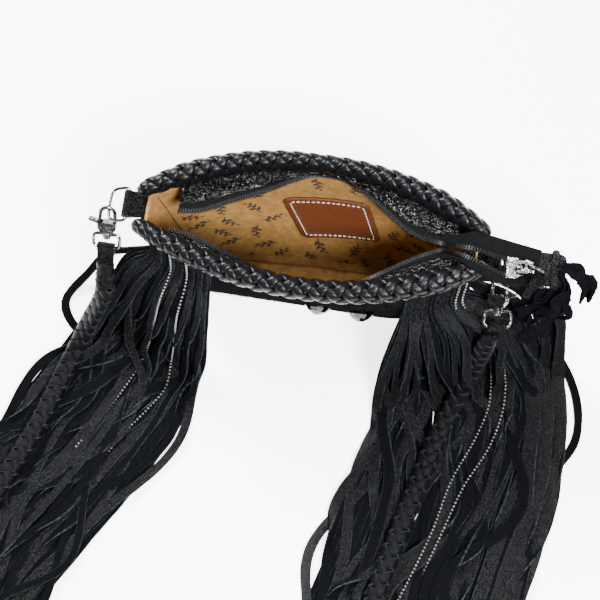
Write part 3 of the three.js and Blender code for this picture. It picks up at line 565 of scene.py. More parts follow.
SEAM = {"height": 7, "proud": 0.3, "radius": 0.55, "corners": (0.012, 0.988), "corner_radius": 0.6}
seams = Build()
for side in (-1, 1):
    proud = Vector((0, -side * SEAM["proud"], 0))
    low = [lining_point(side, across, SEAM["height"], LINING_FACE) + proud for across in steps(60)]
    sweep(seams, low, [Vector((0, -side, 0))] * len(low), circle(SEAM["radius"], 6))
    for across in SEAM["corners"]:
        corner = [lining_point(side, across, height, LINING_FACE) for height in range(8, 146, 3)]
        inwards = Vector((0.5 if across < 0.5 else -0.5, -side * 0.5, 0))
        corner = [point + inwards * 0.8 for point in corner]
        sweep(seams, corner, [Vector((0, -side, 0))] * len(corner), circle(SEAM["corner_radius"], 6))
seam_brown = surface("seam_brown", 0.9, [(0.07, 0.035, 0.013), (0.12, 0.06, 0.025)], 0.004)
seams.piece("lining_seams", [seam_brown], "tan_suede")

# Label patch: a bare cognac leather patch with rounded corners, sewn to the back of the lining with
# white thread in a groove near its edge.
cognac = leather(
    "cognac", [(0.075, 0.02, 0.007), (0.115, 0.034, 0.012)], 0.4, 0.0016, 0.0003, Specular_IOR_Level=0.3
)
white_thread = surface("white_thread", 0.8, [(0.4, 0.38, 0.34), (0.55, 0.53, 0.49)], 0.002)


def label_place(u, v, height):
    """A point over the lining's back at shares of the patch's width and drop."""
    top = [lerp(a, b, u) for a, b in zip(LABEL["top_left"], LABEL["top_right"])]
    bottom = [lerp(a, b, u) for a, b in zip(LABEL["bottom_left"], LABEL["bottom_right"])]
    x, z = (lerp(a, b, v) for a, b in zip(top, bottom))
    return Vector((x, depth_at(1, x, z) - LINING_FACE - LINING_GAP - height, z))


def rounded_square(inset, corner, each=6):
    """Shares round a unit square with round corners and five more points along each side."""
    arcs = []
    for i, (cx, cy) in enumerate(((1, 0), (1, 1), (0, 1), (0, 0))):
        px = lerp(inset + corner, 1 - inset - corner, cx)
        py = lerp(inset + corner, 1 - inset - corner, cy)
        angles = [(i - 1 + share) * math.pi / 2 for share in steps(each)]
        arcs.append([(px + corner * math.cos(angle), py + corner * math.sin(angle)) for angle in angles])
    outline = []
    for arc, after in zip(arcs, arcs[1:] + arcs[:1]):
        side = [tuple(lerp(a, b, share) for a, b in zip(arc[-1], after[0])) for share in steps(6)[1:-1]]
        outline += arc + side
    return outline


# From the middle of the patch's back round its edge to the middle of its face: inset, corner and height
LABEL_RINGS = [
    (0.44, 0.01, 0), (0.3, 0.02, 0), (0.15, 0.04, 0), (0, 0.09, 0), (0, 0.09, 1.0), (0.012, 0.08, 1.5),
    (0.05, 0.06, 1.6), (0.075, 0.05, 1.35), (0.1, 0.04, 1.6), (0.2, 0.03, 1.9), (0.32, 0.02, 2.0),
    (0.44, 0.01, 2.0),
]
LABEL_STITCH = {"pitch": 3.6, "length": 2.7, "radius": 0.5}
label = Build()
rings = [
    [label_place(u, v, height) for u, v in rounded_square(inset, corner)]
    for inset, corner, height in LABEL_RINGS
]
label.skin(rings)
label.piece("label_leather", [cognac], "cognac_leather", ["label_patch"])
border = rounded_square(0.075, 0.05, 10)
border.append(border[0])
border = smooth_line([label_place(u, v, 1.75) for u, v in border], step=0.4)
label_thread = Build()
stitches(label_thread, border, [Vector((0, -1, 0))] * len(border), **LABEL_STITCH)
label_thread.piece("label_stitching", [white_thread], "cognac_leather")

# Outer seams: rows of dark thread round the back panel and down both ends, near the edges, and a thin
# leather cord in each corner seam between the panels and the gusset.
grey_thread = surface(
    "grey_thread", 0.7, [(0.003, 0.003, 0.004), (0.02, 0.02, 0.022)], 0.002, Specular_IOR_Level=0.2
)
outer_seams = Build()
SEAM_SIDES = (0.022, 0.978)
SEAM_ENDS = (6, 147)
SEAM_HEIGHTS = [lerp(*SEAM_ENDS, share) for share in steps(240)]
SEAM_SHARES = [lerp(*SEAM_SIDES, share) for share in steps(400)]
OUTER_STITCH = {"pitch": 4.4, "length": 3.1, "radius": 0.42}
PROUD = 0.3
rows = [[wall_point(1, across, height, -PROUD) for height in SEAM_HEIGHTS] for across in SEAM_SIDES]
rows += [[wall_point(1, across, height, -PROUD) for across in SEAM_SHARES] for height in SEAM_ENDS]
for row in rows:
    stitches(outer_seams, row, [Vector((0, 1, 0))] * len(row), **OUTER_STITCH)
for end, out in (("left", -1), ("right", 1)):
    for y in (-10, 10):
        row = [Vector((section_at(height)[end] + out * PROUD, y, height)) for height in SEAM_HEIGHTS[:226]]
        stitches(outer_seams, row, [Vector((out, 0, 0))] * len(row), **OUTER_STITCH)
outer_seams.piece("outer_seam_stitching", [grey_thread], "black_leather")
CORD = {"radius": 0.7, "inset": 2.2, "end_inset": 0.3}
cords = Build()
for side in (-1, 1):
    for across in (0, 1):
        row = [wall_point(side, across, z, CORD["inset"], CORD["end_inset"]) for z in SEAM_HEIGHTS[::4]]
        sweep(cords, row, [Vector((across * 2 - 1, 0, 0))] * len(row), circle(CORD["radius"], 8))
cords.piece("corner_cords", [smooth_black], "black_leather")

# Braided rims: six black leather laces braided round a cord over each panel's top edge and drawn
# together at the ends, with tan flecks where the laces go through the leather.
LACE_SECTION = [
    (-0.5, -0.05), (-0.43, 0.36), (-0.16, 0.5), (0.16, 0.5), (0.43, 0.36), (0.5, -0.05), (0.34, -0.4),
    (-0.34, -0.4),
]
braid_black = leather(
    "braid_black", [(0.0015, 0.0015, 0.002), (0.0055, 0.0058, 0.0066)], 0.27, 0.0016, 0.00012, 0.6,
    Specular_IOR_Level=0.13,
)


def braid(build, line, halves, turn, lace, swell, each, sides_of=None):
    """Laces that cross over and under each other round a line, as many each way. halves gives half
    the braid's width and thickness at each point, turn the length of half a turn round it, and lace a
    lace's width and thickness. sides_of gives the finish of each side of a lace."""
    wide, thick = lace
    ways = tangents(line)
    sides = [Vector((-way.y, way.x, 0)).normalized() for way in ways]
    ups = [way.cross(side) for way, side in zip(ways, sides)]
    travelled = [0.0]
    for before, after in zip(line, line[1:]):
        travelled.append(travelled[-1] + (after - before).length)
    for way in (1, -1):
        for k in range(each):
            path = []
            normals = []
            for i, point in enumerate(line):
                turned = math.pi * travelled[i] / turn
                angle = way * turned + 2 * math.pi * k / each + 0.75 * math.pi
                half_wide, half_thick = halves(i)
                lift = swell * way * math.cos(each * turned) - swell - thick / 2
                out = sides[i] * math.cos(angle) * max(half_wide + lift, 0.4)
                path.append(point + out + ups[i] * math.sin(angle) * max(half_thick + lift, 0.4))
                flat = sides[i] * (math.cos(angle) / half_wide) + ups[i] * (math.sin(angle) / half_thick)
                normals.append(flat.normalized())
            drawn_in = [min(1, halves(i)[1] / (1.6 * thick)) for i in range(len(line))]
            section = [(u * wide, v * thick) for u, v in LACE_SECTION]
            sweep(build, path, normals, section, sides_of, lambda i: drawn_in[i])
    rings = []
    for i, point in enumerate(line):
        half_wide, half_thick = (max(half - swell * 2 - thick * 0.6, 0.2) for half in halves(i))
        rings.append([point + sides[i] * u * half_wide + ups[i] * v * half_thick for u, v in circle(1, 10)])
    build.skin(rings)


RIM = {"overrun": 5, "gap": 0.3, "turn": 18.4, "seat": 0.924, "steps": 280, "round_steps": 12}
FLECK = (1.6, 1.2, 1.8)
RIM_RADII = {
    -1: [(0, 6.2), (0.13, 8.6), (0.3, 8.8), (0.5, 8.6), (0.68, 9), (0.86, 10), (1, 6.2)],
    1: [(0, 6.2), (0.13, 8.8), (0.3, 8), (0.5, 6.6), (0.68, 8), (0.86, 9.6), (1, 6.2)],
}


def rim(node, side):
    top = section_at(PANEL_TOP)
    count = RIM["steps"]
    radii = [table_value(RIM_RADII[side], share) for share in steps(count)]
    line = []
    for share, radius in zip(steps(count), radii):
        x = lerp(top["left"] - RIM["overrun"], top["right"] + RIM["overrun"], share)
        y = side * (depth_at(side, x, PANEL_TOP) - WALL / 2)
        line.append(Vector((x, y, PANEL_TOP + RIM["gap"] + radius * RIM["seat"])))

    def halves(i):
        from_end = min(i, count - i) / RIM["round_steps"]
        rounded = math.sqrt(max(0.02, 1 - (1 - min(1, from_end)) ** 2))
        return radii[i] * rounded, radii[i] * rounded

    build = Build()
    braid(build, line, halves, RIM["turn"], lace=(7.6, 2.8), swell=1.0, each=3)
    build.piece(node + "_braid", [braid_black], "black_leather", [node])


rim("front_rim", -1)
rim("back_rim", 1)
flecks = Build()
for side in (-1, 1):
    for share in steps(20)[1:-1]:
        point = wall_point(side, share, PANEL_TOP - 1.6, LINING_FACE + 0.5, LINING_FACE)
        flecks.box(point, Vector((1, 0, 0)), Vector((0, 1, 0)), Vector((0, 0, 1)), FLECK)
flecks.piece("lacing_flecks", [tan_suede], "tan_suede")

# Zip facings: strips of pebbled glossy black leather, sewn under the rims and along the zip's tapes
# with one row of dark thread.
BACK_TEETH = [
    (-110, 2, 152), (-94, 4, 153), (-73, 14, 153), (-50, 25, 152), (-31, 36, 150), (-18, 42, 149.5),
    (-5, 44.5, 149.5), (8, 43.5, 149.5), (20, 38, 150), (30, 32, 150), (42, 23, 151), (56, 12, 152),
    (70, 5, 153), (86, 1.6, 154),
]
FRONT_TEETH = [
    (-114, -11, 151), (-98, -14, 151), (-83, -19, 150), (-60, -27, 149), (-43, -33, 148), (-20, -39, 144),
    (5, -40, 142), (32, -31, 147), (51, -20, 150), (69, -9, 151), (86, -2, 154),
]
FACING_STITCH = {"pitch": 3.0, "length": 1.6, "radius": 0.28}
FACING_STEPS = 96
FACING_ENDS = {1: (112.6, -4, 148), -1: (112.6, 8, 148)}
FLAP = {"from_lining": 1.2, "drop": 1.4, "facing": 0.71, "tape": 0.66, "wall": 1.4}
pebbled = surface(
    "pebbled", 0.2, [(0.0007, 0.0007, 0.0009), (0.003, 0.003, 0.0036)], 0.01,
    reliefs=[("pebble", 0.0065, 0.0034, 1.0), ("pebble", 0.02, 0.006, 0.7)], Specular_IOR_Level=0.46,
)


def flap_point(side, tooth, share):
    """A point at a share of the way from under a rim to a place in a row of teeth."""
    x, y, z = tooth
    inside = depth_at(side, x, PANEL_TOP) - LINING_FACE - FLAP["from_lining"]
    return Vector((x, side * inside, PANEL_TOP - FLAP["drop"])).lerp(Vector((x, y, z)), share)


def flap_lines(side, teeth, shares, count):
    rows = [[flap_point(side, tooth, share) for tooth in teeth] for share in shares]
    return [smooth_line(row, count=count) for row in rows]


def upright(first, last):
    """The upward normal across a strip from its two edges."""
    across = last - first
    normal = Vector((0, -across.z, across.y)).normalized()
    return normal if normal.z > 0 else -normal


def facing(node, side, teeth):
    teeth = [*teeth, FACING_ENDS[side]]
    shares = [lerp(-0.1, FLAP["facing"], share) for share in steps(6)]
    lines = flap_lines(side, teeth, shares, FACING_STEPS)
    rings = []
    for i in range(FACING_STEPS + 1):
        up = upright(lines[0][i], lines[-1][i])
        over = []
        under = []
        for k, line in enumerate(lines):
            crown = 1.5 * math.sin(math.pi * k / 6) + 1.1 * noise.noise(line[i] / 7)
            over.append(line[i] + up * (FLAP["wall"] / 2 + 0.3 + max(crown, -0.2)))
            under.append(line[i] - up * FLAP["wall"] / 2)
        rings.append(over + under[::-1])
    build = Build()
    build.skin(rings)
    build.piece(node + "_leather", [pebbled], "black_leather", [node])
    line = flap_lines(side, teeth, [FLAP["facing"] * 0.88], 400)[0]
    edge = [flap_lines(side, teeth, [share], 400)[0] for share in (0, FLAP["facing"])]
    ups = [upright(first, last) for first, last in zip(*edge)]
    thread = Build()
    stitches(thread, [p + up * 2.0 for p, up in zip(line, ups)], ups, **FACING_STITCH)
    thread.piece(node + "_stitching", [grey_thread], "black_leather")


facing("zip_facing_front", -1, FRONT_TEETH)
facing("zip_facing_back", 1, BACK_TEETH)

# Zip: two woven black tapes with dark metal teeth, open along the mouth, that run on together as a
# free tail past the right end.
TAIL_COLUMNS = ("x", "z", "back", "front", "back_edge", "front_edge")
TAIL_ROWS = [
    dict(zip(TAIL_COLUMNS, row))
    for row in (
        (98, 165, -2, -6.4, 8, -11.5),
        (109, 171.4, -4.6, -10.8, 9.5, -19),
        (122, 171, -7, -15.4, 8, -25),
        (135, 170, -9.6, -19, 6, -27),
        (147, 170, -13, -16.2, 4, -25.5),
        (158.8, 170, -13.2, -16, 2, -25.5),
    )
]
TAPE = {"steps": 160, "half_wall": 0.45, "crown": 0.6}
TOOTH = {"pitch": 2.0, "size": (1.0, 3.2, 2.6), "inset": 0.9}
woven = surface(
    "woven_tape", 0.7, [(0.0006, 0.0006, 0.0008), (0.011, 0.011, 0.0125)], 0.0018,
    (0.45, 0.62), reliefs=[("pebble", (0.0022, 0.0011, 0.0022), 0.0012, 1.0)], Specular_IOR_Level=0.05,
)
dark_metal = surface(
    "dark_metal", 0.42, [(0.003, 0.003, 0.0035), (0.016, 0.0165, 0.018)], 0.0015, Metallic=0.9
)


def zip_row(node, side, teeth):
    way = "front" if side < 0 else "back"
    edge = [flap_point(side, tooth, FLAP["tape"]) for tooth in teeth]
    row = [Vector(tooth) for tooth in teeth]
    for tail in TAIL_ROWS:
        edge.append(Vector((tail["x"], tail[way + "_edge"], tail["z"])))
        row.append(Vector((tail["x"], tail[way], tail["z"])))
    edges = smooth_line(edge, count=TAPE["steps"])
    rows = smooth_line(row, count=TAPE["steps"])
    rings = []
    for first, last in zip(edges, rows):
        up = upright(first, last) * TAPE["half_wall"]
        middle = first.lerp(last, 0.5) + up * TAPE["crown"]
        rings.append([first + up, middle + up, last + up, last - up, middle - up, first - up])
    build = Build()
    build.skin(rings)
    build.piece(node + "_woven", [woven], "black_tape", [node])
    metal = Build()
    line = smooth_line(row, step=TOOTH["pitch"])
    outer = smooth_line(edge, count=len(line) - 1)
    ways = tangents(line)
    for point, far, along in zip(line, outer, ways):
        up = upright(far, point)
        across = up.cross(along).normalized()
        if across.dot(point - far) < 0:
            across.negate()
        metal.box(point - across * TOOTH["inset"], along, across, along.cross(across), TOOTH["size"])
    metal.piece(node + "_teeth", [dark_metal], "black_tape", smooth=False)


zip_row("zip_tape_front", -1, FRONT_TEETH)
zip_row("zip_tape_back", 1, BACK_TEETH)

# Zip tail: a folded leather end sewn on the tapes, and a suede lace knotted round it with ragged ends.
# The leather of the tail and of the fringes is glossy on its grain side, with pale cut edges.
strip_face = surface(
    "strip_face", 0.2, [(0.0028, 0.0028, 0.0032), (0.0175, 0.0178, 0.019)], 0.0046,
    (0.43, 0.7), reliefs=[("pebble", 0.003, 0.0015, 1.0), ("crease", 0.008, 0.002, 0.4)],
)
# The strips shine where they lie flat and are dull where they hang
tree = strip_face.node_tree
facing_way = tree.nodes.new("ShaderNodeTexCoord")
split = tree.nodes.new("ShaderNodeSeparateXYZ")
dull = tree.nodes.new("ShaderNodeMapRange")
for socket, value in (("From Min", 0.66), ("From Max", 0.97), ("To Min", 0.0), ("To Max", 0.09)):
    dull.inputs[socket].default_value = value
tree.links.new(facing_way.outputs["Normal"], split.inputs["Vector"])
tree.links.new(split.outputs["Z"], dull.inputs["Value"])
tree.links.new(dull.outputs["Result"], tree.nodes["Principled BSDF"].inputs["Specular IOR Level"])
suede_black = surface(
    "suede_black", 0.9, [(0.0012, 0.0013, 0.0016), (0.0055, 0.006, 0.0072)], 0.003,
    reliefs=[("nap", 0.0012, 0.001, 0.9)], Specular_IOR_Level=0.0,
)
cut_edge = surface(
    "cut_edge", 0.9, [(0.003, 0.0036, 0.0041), (0.023, 0.0277, 0.031)], 0.012,
    reliefs=[("fibre", 0.0006, 0.0004, 0.7)], Specular_IOR_Level=0.0,
)
STRIP_FINISHES = [strip_face, cut_edge, suede_black]
GRAIN_UP = [0, 0, 1, 1, 2, 2, 1, 1]
FLESH_UP = [2, 2, 1, 1, 0, 0, 1, 1]
ALL_SUEDE = [2] * 8
CHAMFER = 0.42
CROWN = 0.07


def strip(build, line, width, thickness, roll, taper, sides, side=None):
    """A flat cut strip along a line, with its broad sides up and down and cut edges between. roll gives its
    turn about its own line at each point, taper its share of the width, sides the finish of each side, and
    side a way for its width to lie and how far it does."""
    rings = []
    ways = tangents(line)
    last = len(line) - 1
    for i, (point, along) in enumerate(zip(line, ways)):
        far = line[min(i + 3, last)] - line[max(i - 3, 0)]
        across = Vector((-far.y, far.x, 0)).normalized()
        if side:
            across = across.lerp(*side(i))
        across = (across - along * along.dot(across)).normalized()
        up = along.cross(across)
        turn = roll(i)
        wide = across * math.cos(turn) + up * math.sin(turn)
        thick = along.cross(wide)
        half = width / 2 * taper(i)
        high = thickness / 2
        rings.append(
            [
                point - wide * (half - CHAMFER) + thick * high,
                point + thick * (high + CROWN * half),
                point + wide * (half - CHAMFER) + thick * high,
                point + wide * half + thick * (high - CHAMFER),
                point + wide * half - thick * high,
                point - thick * (high - CROWN * half),
                point - wide * half - thick * high,
                point - wide * half + thick * (high - CHAMFER),
            ]
        )
    build.skin(rings, sides)


remade("zip_end_tab", strip_face, bevel=0.7)
LACE = {"width": (5.5, 8), "wall": 1.5, "step": 1.6, "ragged": 0.4}
LACE_AT = Vector((169, -12, 170))
BAND_SIZE = (28.5, 7.2)
BAND_SECTION = [(-2.5, 0), (-1.2, 0.8), (1.2, 0.8), (2.5, 0), (1.5, -0.5), (-1.5, -0.5)]
KNOT_AT = LACE_AT + Vector((2, 4, 6.2))
KNOT_SIZE = (1.5, 1.35, 1.5)
lace = Build()
band = []
for u, v in rounded_square(0, 0.2, 4):
    band.append(LACE_AT + Vector((0, (u - 0.5) * BAND_SIZE[0], (v - 0.5) * BAND_SIZE[1])))
band.append(band[0])
outs = [Vector((0, p.y - LACE_AT.y, (p.z - LACE_AT.z) * 3)).normalized() for p in band]
sweep(lace, band, outs, BAND_SECTION)
knot = []
for turn in steps(72):
    t = 2 * math.pi * turn
    ring = Vector((math.sin(t) + 2 * math.sin(2 * t), math.cos(t) - 2 * math.cos(2 * t), -math.sin(3 * t)))
    knot.append(KNOT_AT + Vector([part * size for part, size in zip(ring, KNOT_SIZE)]))
sweep(lace, knot, [Vector((0.2, 0.1, 1))] * len(knot), [(u * 1.6, v * 0.9) for u, v in circle(1, 8)])
LACE_TAILS = [
    ((173, -8, 175), (184, -11, 174), (194, -17, 167), (197, -26, 157)),
    ((169, -26, 170), (170, -33, 163), (165, -40, 152), (156, -46, 142)),
    ((172, -9, 176), (183, -14, 176), (191, -22, 172), (190, -32, 164)),
    ((171, -24, 169), (174, -31, 164), (172, -40, 153), (166, -49, 141), (157, -57, 131)),
    ((166, -26, 169), (165, -32, 162), (157, -37, 154), (148, -41, 149)),
    ((175, -20, 171), (180, -27, 166), (178, -37, 156), (170, -46, 144), (166, -52, 132)),
    ((172, -16, 174), (178, -24, 173), (176, -33, 168), (168, -39, 162), (160, -42, 158)),
    ((163, -26, 168), (160, -33, 160), (162, -41, 150), (158, -50, 139)),
]
draw = random.Random(5)
shaken = [
    [
        Vector(point) + Vector([draw.uniform(-3, 3) * min(i, 2) for _ in range(3)])
        for i, point in enumerate(tail)
    ]
    for tail in LACE_TAILS
]
for tail in LACE_TAILS + shaken:
    line = smooth_line(tail, step=LACE["step"])
    start = draw.uniform(0, 6)
    ragged = [1 + LACE["ragged"] * noise.noise(Vector((i * 0.6, start, 0))) for i in range(len(line))]
    width = draw.uniform(*LACE["width"])
    strip(lace, line, width, LACE["wall"], lambda i: 0.1 * i + start, lambda i: ragged[i], ALL_SUEDE)
lace.piece("zip_end_lace_knotted", STRIP_FINISHES, "black_suede", ["zip_end_lace"], crease=40)

# Slider and pull: bright cast metal. The slider runs on both rows of teeth, and its pull carries a wire
# ring with a folded leather tab.
silver = surface(
    "silver", 0.2, [(0.06, 0.06, 0.06), (0.2, 0.2, 0.193)], 0.016,
    reliefs=[("wear", 0.016, 0.0016, 0.16)], Metallic=1,
)
remade("zip_slider", silver, bevel=0.35)
remade("zip_pull", silver, body="zip_pull", bevel=0.3)
remade("zip_pull_ring", silver, body="zip_pull", rounds=1)
remade("zip_pull_leather", smooth_black, body="zip_pull", bevel=0.4)

# Ends: folded leather tabs sewn into the gusset's top carry D-rings of bright wire. Swivel trigger snaps
# of cast metal hang in them, each with a sprung lever and an eye for the strap.
for end in ("left", "right"):
    remade("tab_" + end, smooth_black, bevel=0.5)
    remade("d_ring_" + end, silver, rounds=1)
    remade("snap_hook_" + end, silver, bevel=0.4)
    remade("snap_lever_" + end, silver, body="lever_" + end, bevel=0.4)
    remade("snap_eye_" + end, silver, bevel=0.3)
    remade("strap_end_" + end, smooth_black, bevel=0.5)

# Strap: four leather laces in a flat round braid, from the left snap over the left fringe, round in front
# of the bag and up to the right snap.
STRAP = {"half_width": 8, "half_thickness": 5, "turn": 11.4, "step": 1.05, "collar": (6.9, 4.4)}
STRAP_ROUTE = [
    (-165.31, -30.65, 104.32), (-165.6, -36.67, 96.59), (-166.11, -47.12, 83.19), (-183, -68, 38),
    (-191, -82, 21), (-200, -105, 14), (-208, -131, 13), (-217, -157, 13), (-234, -198, 13),
    (-255, -250, 13), (-272, -310, 11), (-281, -370, 7), (-275, -430, 5.5), (-245, -486, 5.5),
    (-195, -526, 5.5), (-130, -548, 5.5), (-60, -545, 5.5), (0, -515, 5.5), (38, -465, 5.5),
    (52, -410, 6), (58, -355, 9), (65, -300, 12), (73, -251, 13), (87, -194, 13), (98, -153, 13),
    (109, -114, 14.5), (116, -95, 18), (123, -77, 32), (128, -65, 58), (130.58, -56.79, 89.25),
    (132.48, -53.35, 105.79), (133.57, -51.37, 115.32),
]
plait_edge = surface(
    "plait_edge", 0.9, [(0.005, 0.0057, 0.0066), (0.021, 0.0245, 0.028)], 0.004, Specular_IOR_Level=0.0
)
strap_black = leather(
    "strap_black", [(0.001, 0.001, 0.0013), (0.0042, 0.0043, 0.005)], 0.36, 0.0015, 0.00025, 0.7,
    Specular_IOR_Level=0.04,
)
line = smooth_line(STRAP_ROUTE, step=STRAP["step"])


def strap_halves(i):
    """Half the strap's width and thickness at a point, drawn in towards both ends."""
    from_end = min(i, len(line) - 1 - i)
    wide = STRAP["half_width"] * min(1, 0.72 + from_end / 60)
    return wide, STRAP["half_thickness"] * min(1, 0.6 + from_end / 40)


strap = Build()
PALE_SIDES = [1, 0, 0, 0, 1, 0, 0, 0]
braid(strap, line, strap_halves, STRAP["turn"], lace=(8.2, 2.6), swell=0.8, each=2, sides_of=PALE_SIDES)
for part in (line[:11], line[-11:]):
    collar = [(u * STRAP["collar"][0], v * STRAP["collar"][1]) for u, v in circle(1, 14)]
    sweep(strap, part, [Vector((0, -0.6, 0.8))] * len(part), collar)
strap.piece("strap_braid", [strap_black, plait_edge], "black_leather", ["strap"])

# Fringes: each is one piece of leather, cut into long strips below a band that is sewn round a front
# corner under the rim. The strips hang to the floor and lie forward over it. Their grain side is glossy,
# their flesh side suede.
HEAD = {"bottom": 132, "top": 149, "wall": 2.2, "gap": 0.5}
FRINGE = {"wall": 1.7, "floor": 1.1, "step": 5, "roll_wave": 60, "sway_wave": 95}
# The pile, from below: how many strips, their heights and widths, and how far they sway and roll
LAYERS = [
    (40, (0, 2.0), (7, 9.5), (2, 8), (0.1, 0.5)),
    (24, (2.4, 4.6), (5.5, 9), (12, 40), (0.3, 1.5)),
    (14, (4.6, 7.2), (5.5, 9), (20, 64), (0.5, 2.0)),
]
# How much further out than the fringe's edges a strip may hang, at each point of its route
BULGE = (0, 0.6, 1, 0.4, 0, 0, 0, 0)
# Where each fringe's band begins and ends, the routes of its edges, and the routes of its single strips
FRINGES = [
    {
        "name": "left", "seed": 21, "from": -82, "to": -131,
        "inner": [
            (-83, -56, 106), (-86, -63, 58), (-89, -75, 11), (-95, -100), (-104, -138), (-128, -185),
            (-165, -238), (-205, -300),
        ],
        "outer": [
            (-148, -20, 106), (-166, -22, 58), (-184, -34, 11), (-208, -80), (-232, -128), (-262, -180),
            (-292, -240), (-316, -305),
        ],
        "loose": [(-150, -17, 106), (-174, -9, 58), (-194, -18, 11), (-209, -40), (-199, -58), (-182, -66)],
        "crossing": [
            (-129, -34, 106), (-123, -50, 45), (-127, -60, 14), (-149, -83, 9), (-177, -110, 8),
            (-199, -124, 8), (-222, -136, 7), (-262, -170, 6),
        ],
        "beside": [],
    },
    {
        "name": "right", "seed": 34, "from": 66, "to": 111,
        "inner": [
            (62, -58, 106), (58, -64, 58), (56, -76, 11), (55, -100), (53, -142), (43, -192), (28, -242),
            (10, -305),
        ],
        "outer": [
            (146, -23, 108), (170, -27, 58), (188, -38, 11), (204, -76), (205, -120), (196, -177),
            (184, -236), (169, -305),
        ],
        "loose": [(128, -26, 106), (158, -24, 58), (192, -24, 11), (215, -58), (219, -100), (203, -131)],
        "crossing": [
            (116, -40, 98), (110, -50, 40), (96, -58, 14), (73, -72, 9), (63, -92, 8), (65, -117, 7),
            (74, -148, 7), (71, -189, 7), (61, -238, 6),
        ],
        "beside": [
            [(128, -9, 146), (150, -11, 140), (172, -19, 124), (187, -28, 95), (195, -38, 50),
             (201, -54, 12), (207, -90, 5), (206, -140, 5), (196, -196, 5), (182, -250, 5), (168, -304, 5)],
            [(128, -13, 134), (148, -15, 122), (165, -22, 100), (179, -30, 58), (192, -40, 12),
             (204, -78, 3), (203, -122, 3), (192, -180, 3), (179, -240, 3), (166, -302, 3)],
            [(134, -7, 139), (158, -12, 126), (176, -22, 100), (188, -31, 58), (198, -45, 12),
             (206, -82, 4), (206, -130, 4), (198, -186, 4), (185, -244, 4), (171, -304, 4)],
            [(126, -20, 126), (142, -24, 112), (158, -31, 84), (170, -38, 45), (181, -50, 11),
             (190, -86, 5), (186, -130, 5), (176, -186, 5), (166, -240, 5)],
            [(130, -10, 137), (153, -14, 124), (170, -23, 98), (183, -32, 56), (190, -50, 12),
             (196, -90, 6), (196, -140, 6), (180, -196, 6), (168, -250, 6), (158, -304, 6)],
            [(124, -18, 128), (138, -18, 118), (154, -23, 104), (168, -30, 70), (182, -42, 18),
             (196, -80, 5), (197, -130, 5), (186, -190, 5), (170, -250, 5), (160, -305, 5)],
            [(121, -20, 125), (132, -20, 112), (147, -25, 98), (160, -33, 66), (174, -46, 16),
             (184, -84, 6), (180, -134, 6), (166, -190, 6), (152, -248, 6), (140, -304, 6)],
        ],
    },
]


def infront(x, height, distance):
    """A point in front of the front panel."""
    return Vector((x, -(depth_at(-1, x, height) + distance), height))


def along_panel(x):
    return (infront(x + 2, HEAD["bottom"], 0) - infront(x - 2, HEAD["bottom"], 0)).normalized()


def fringe_route(head_x, head_z, start, points, hang, lie):
    """A route down from the head band, out to the floor and along it, clear of the lowest strips by hang
    where they hang and by lie where they lie."""
    route = [infront(head_x, head_z, start), infront(head_x, HEAD["bottom"] - 6, start + 1.5 + hang / 2)]
    for x, y, *z in points:
        height = z[0] if z else FRINGE["floor"]
        hangs = min(1, height / 60)
        route.append(Vector((x, y - hang * hangs, height + lie * (1 - hangs))))
    return route


def between(fringe, share):
    """The route at a share of the way from a fringe's inner edge to its outer one."""
    pairs = zip(fringe["inner"], fringe["outer"])
    return [tuple(lerp(a, b, share) for a, b in zip(*pair)) for pair in pairs]


def fringe_strip(build, fringe, share, points, lift, width, sway, twist, draw, hangs=True):
    """One strip that sways and rolls on its way. Some of them turn over once."""
    head_x = lerp(fringe["from"], fringe["to"], 0.03 + 0.94 * share)
    start = HEAD["gap"] + HEAD["wall"] / 2
    if hangs:
        route = fringe_route(head_x, HEAD["bottom"] + 8, start, points, lift * 2.6, lift)
    else:
        route = [infront(head_x, HEAD["top"] - 3, start), *points]
    line = smooth_line(route, step=FRINGE["step"])
    seed = draw.uniform(0, 90)
    count = len(line) - 1
    turnover = draw.uniform(0.25, 0.9) * count if twist > 0.8 else 9 * count
    ways = tangents(line)
    rolls = []
    moved = []
    for i, point in enumerate(line):
        level = Vector((-ways[i].y, ways[i].x, 0))
        loose = min(1, max(0, i - 4) / 16)
        roll = twist * loose * noise.noise(Vector((i * FRINGE["step"] / FRINGE["roll_wave"], seed, 3)))
        roll += math.pi * min(1, max(0, (i - turnover) / 9))
        push = sway * loose * noise.noise(Vector((i * FRINGE["step"] / FRINGE["sway_wave"], seed, 0)))
        spot = point + level * push
        spot.z = max(spot.z, FRINGE["floor"] + 0.4 * width * abs(math.sin(roll)))
        rolls.append(roll)
        moved.append(spot)
    along = along_panel(head_x)

    def lie_along(i):
        return (along, min(1, max(0, (moved[i].z - 40) / 80)))

    def taper(i):
        return lerp(0.55, 1, min(1, 2.2 * i / count)) * (1 + 0.1 * noise.noise(Vector((i / 3, seed, 9))))

    # Strips low in the pile always lie with their darker suede side up, as painted shade under the strips
    # above them; higher strips show their glossy grain seven times in ten.
    face = GRAIN_UP if lift > 2 and draw.random() < 0.7 else FLESH_UP
    strip(build, moved, width, FRINGE["wall"], lambda i: rolls[i], taper, face, lie_along)


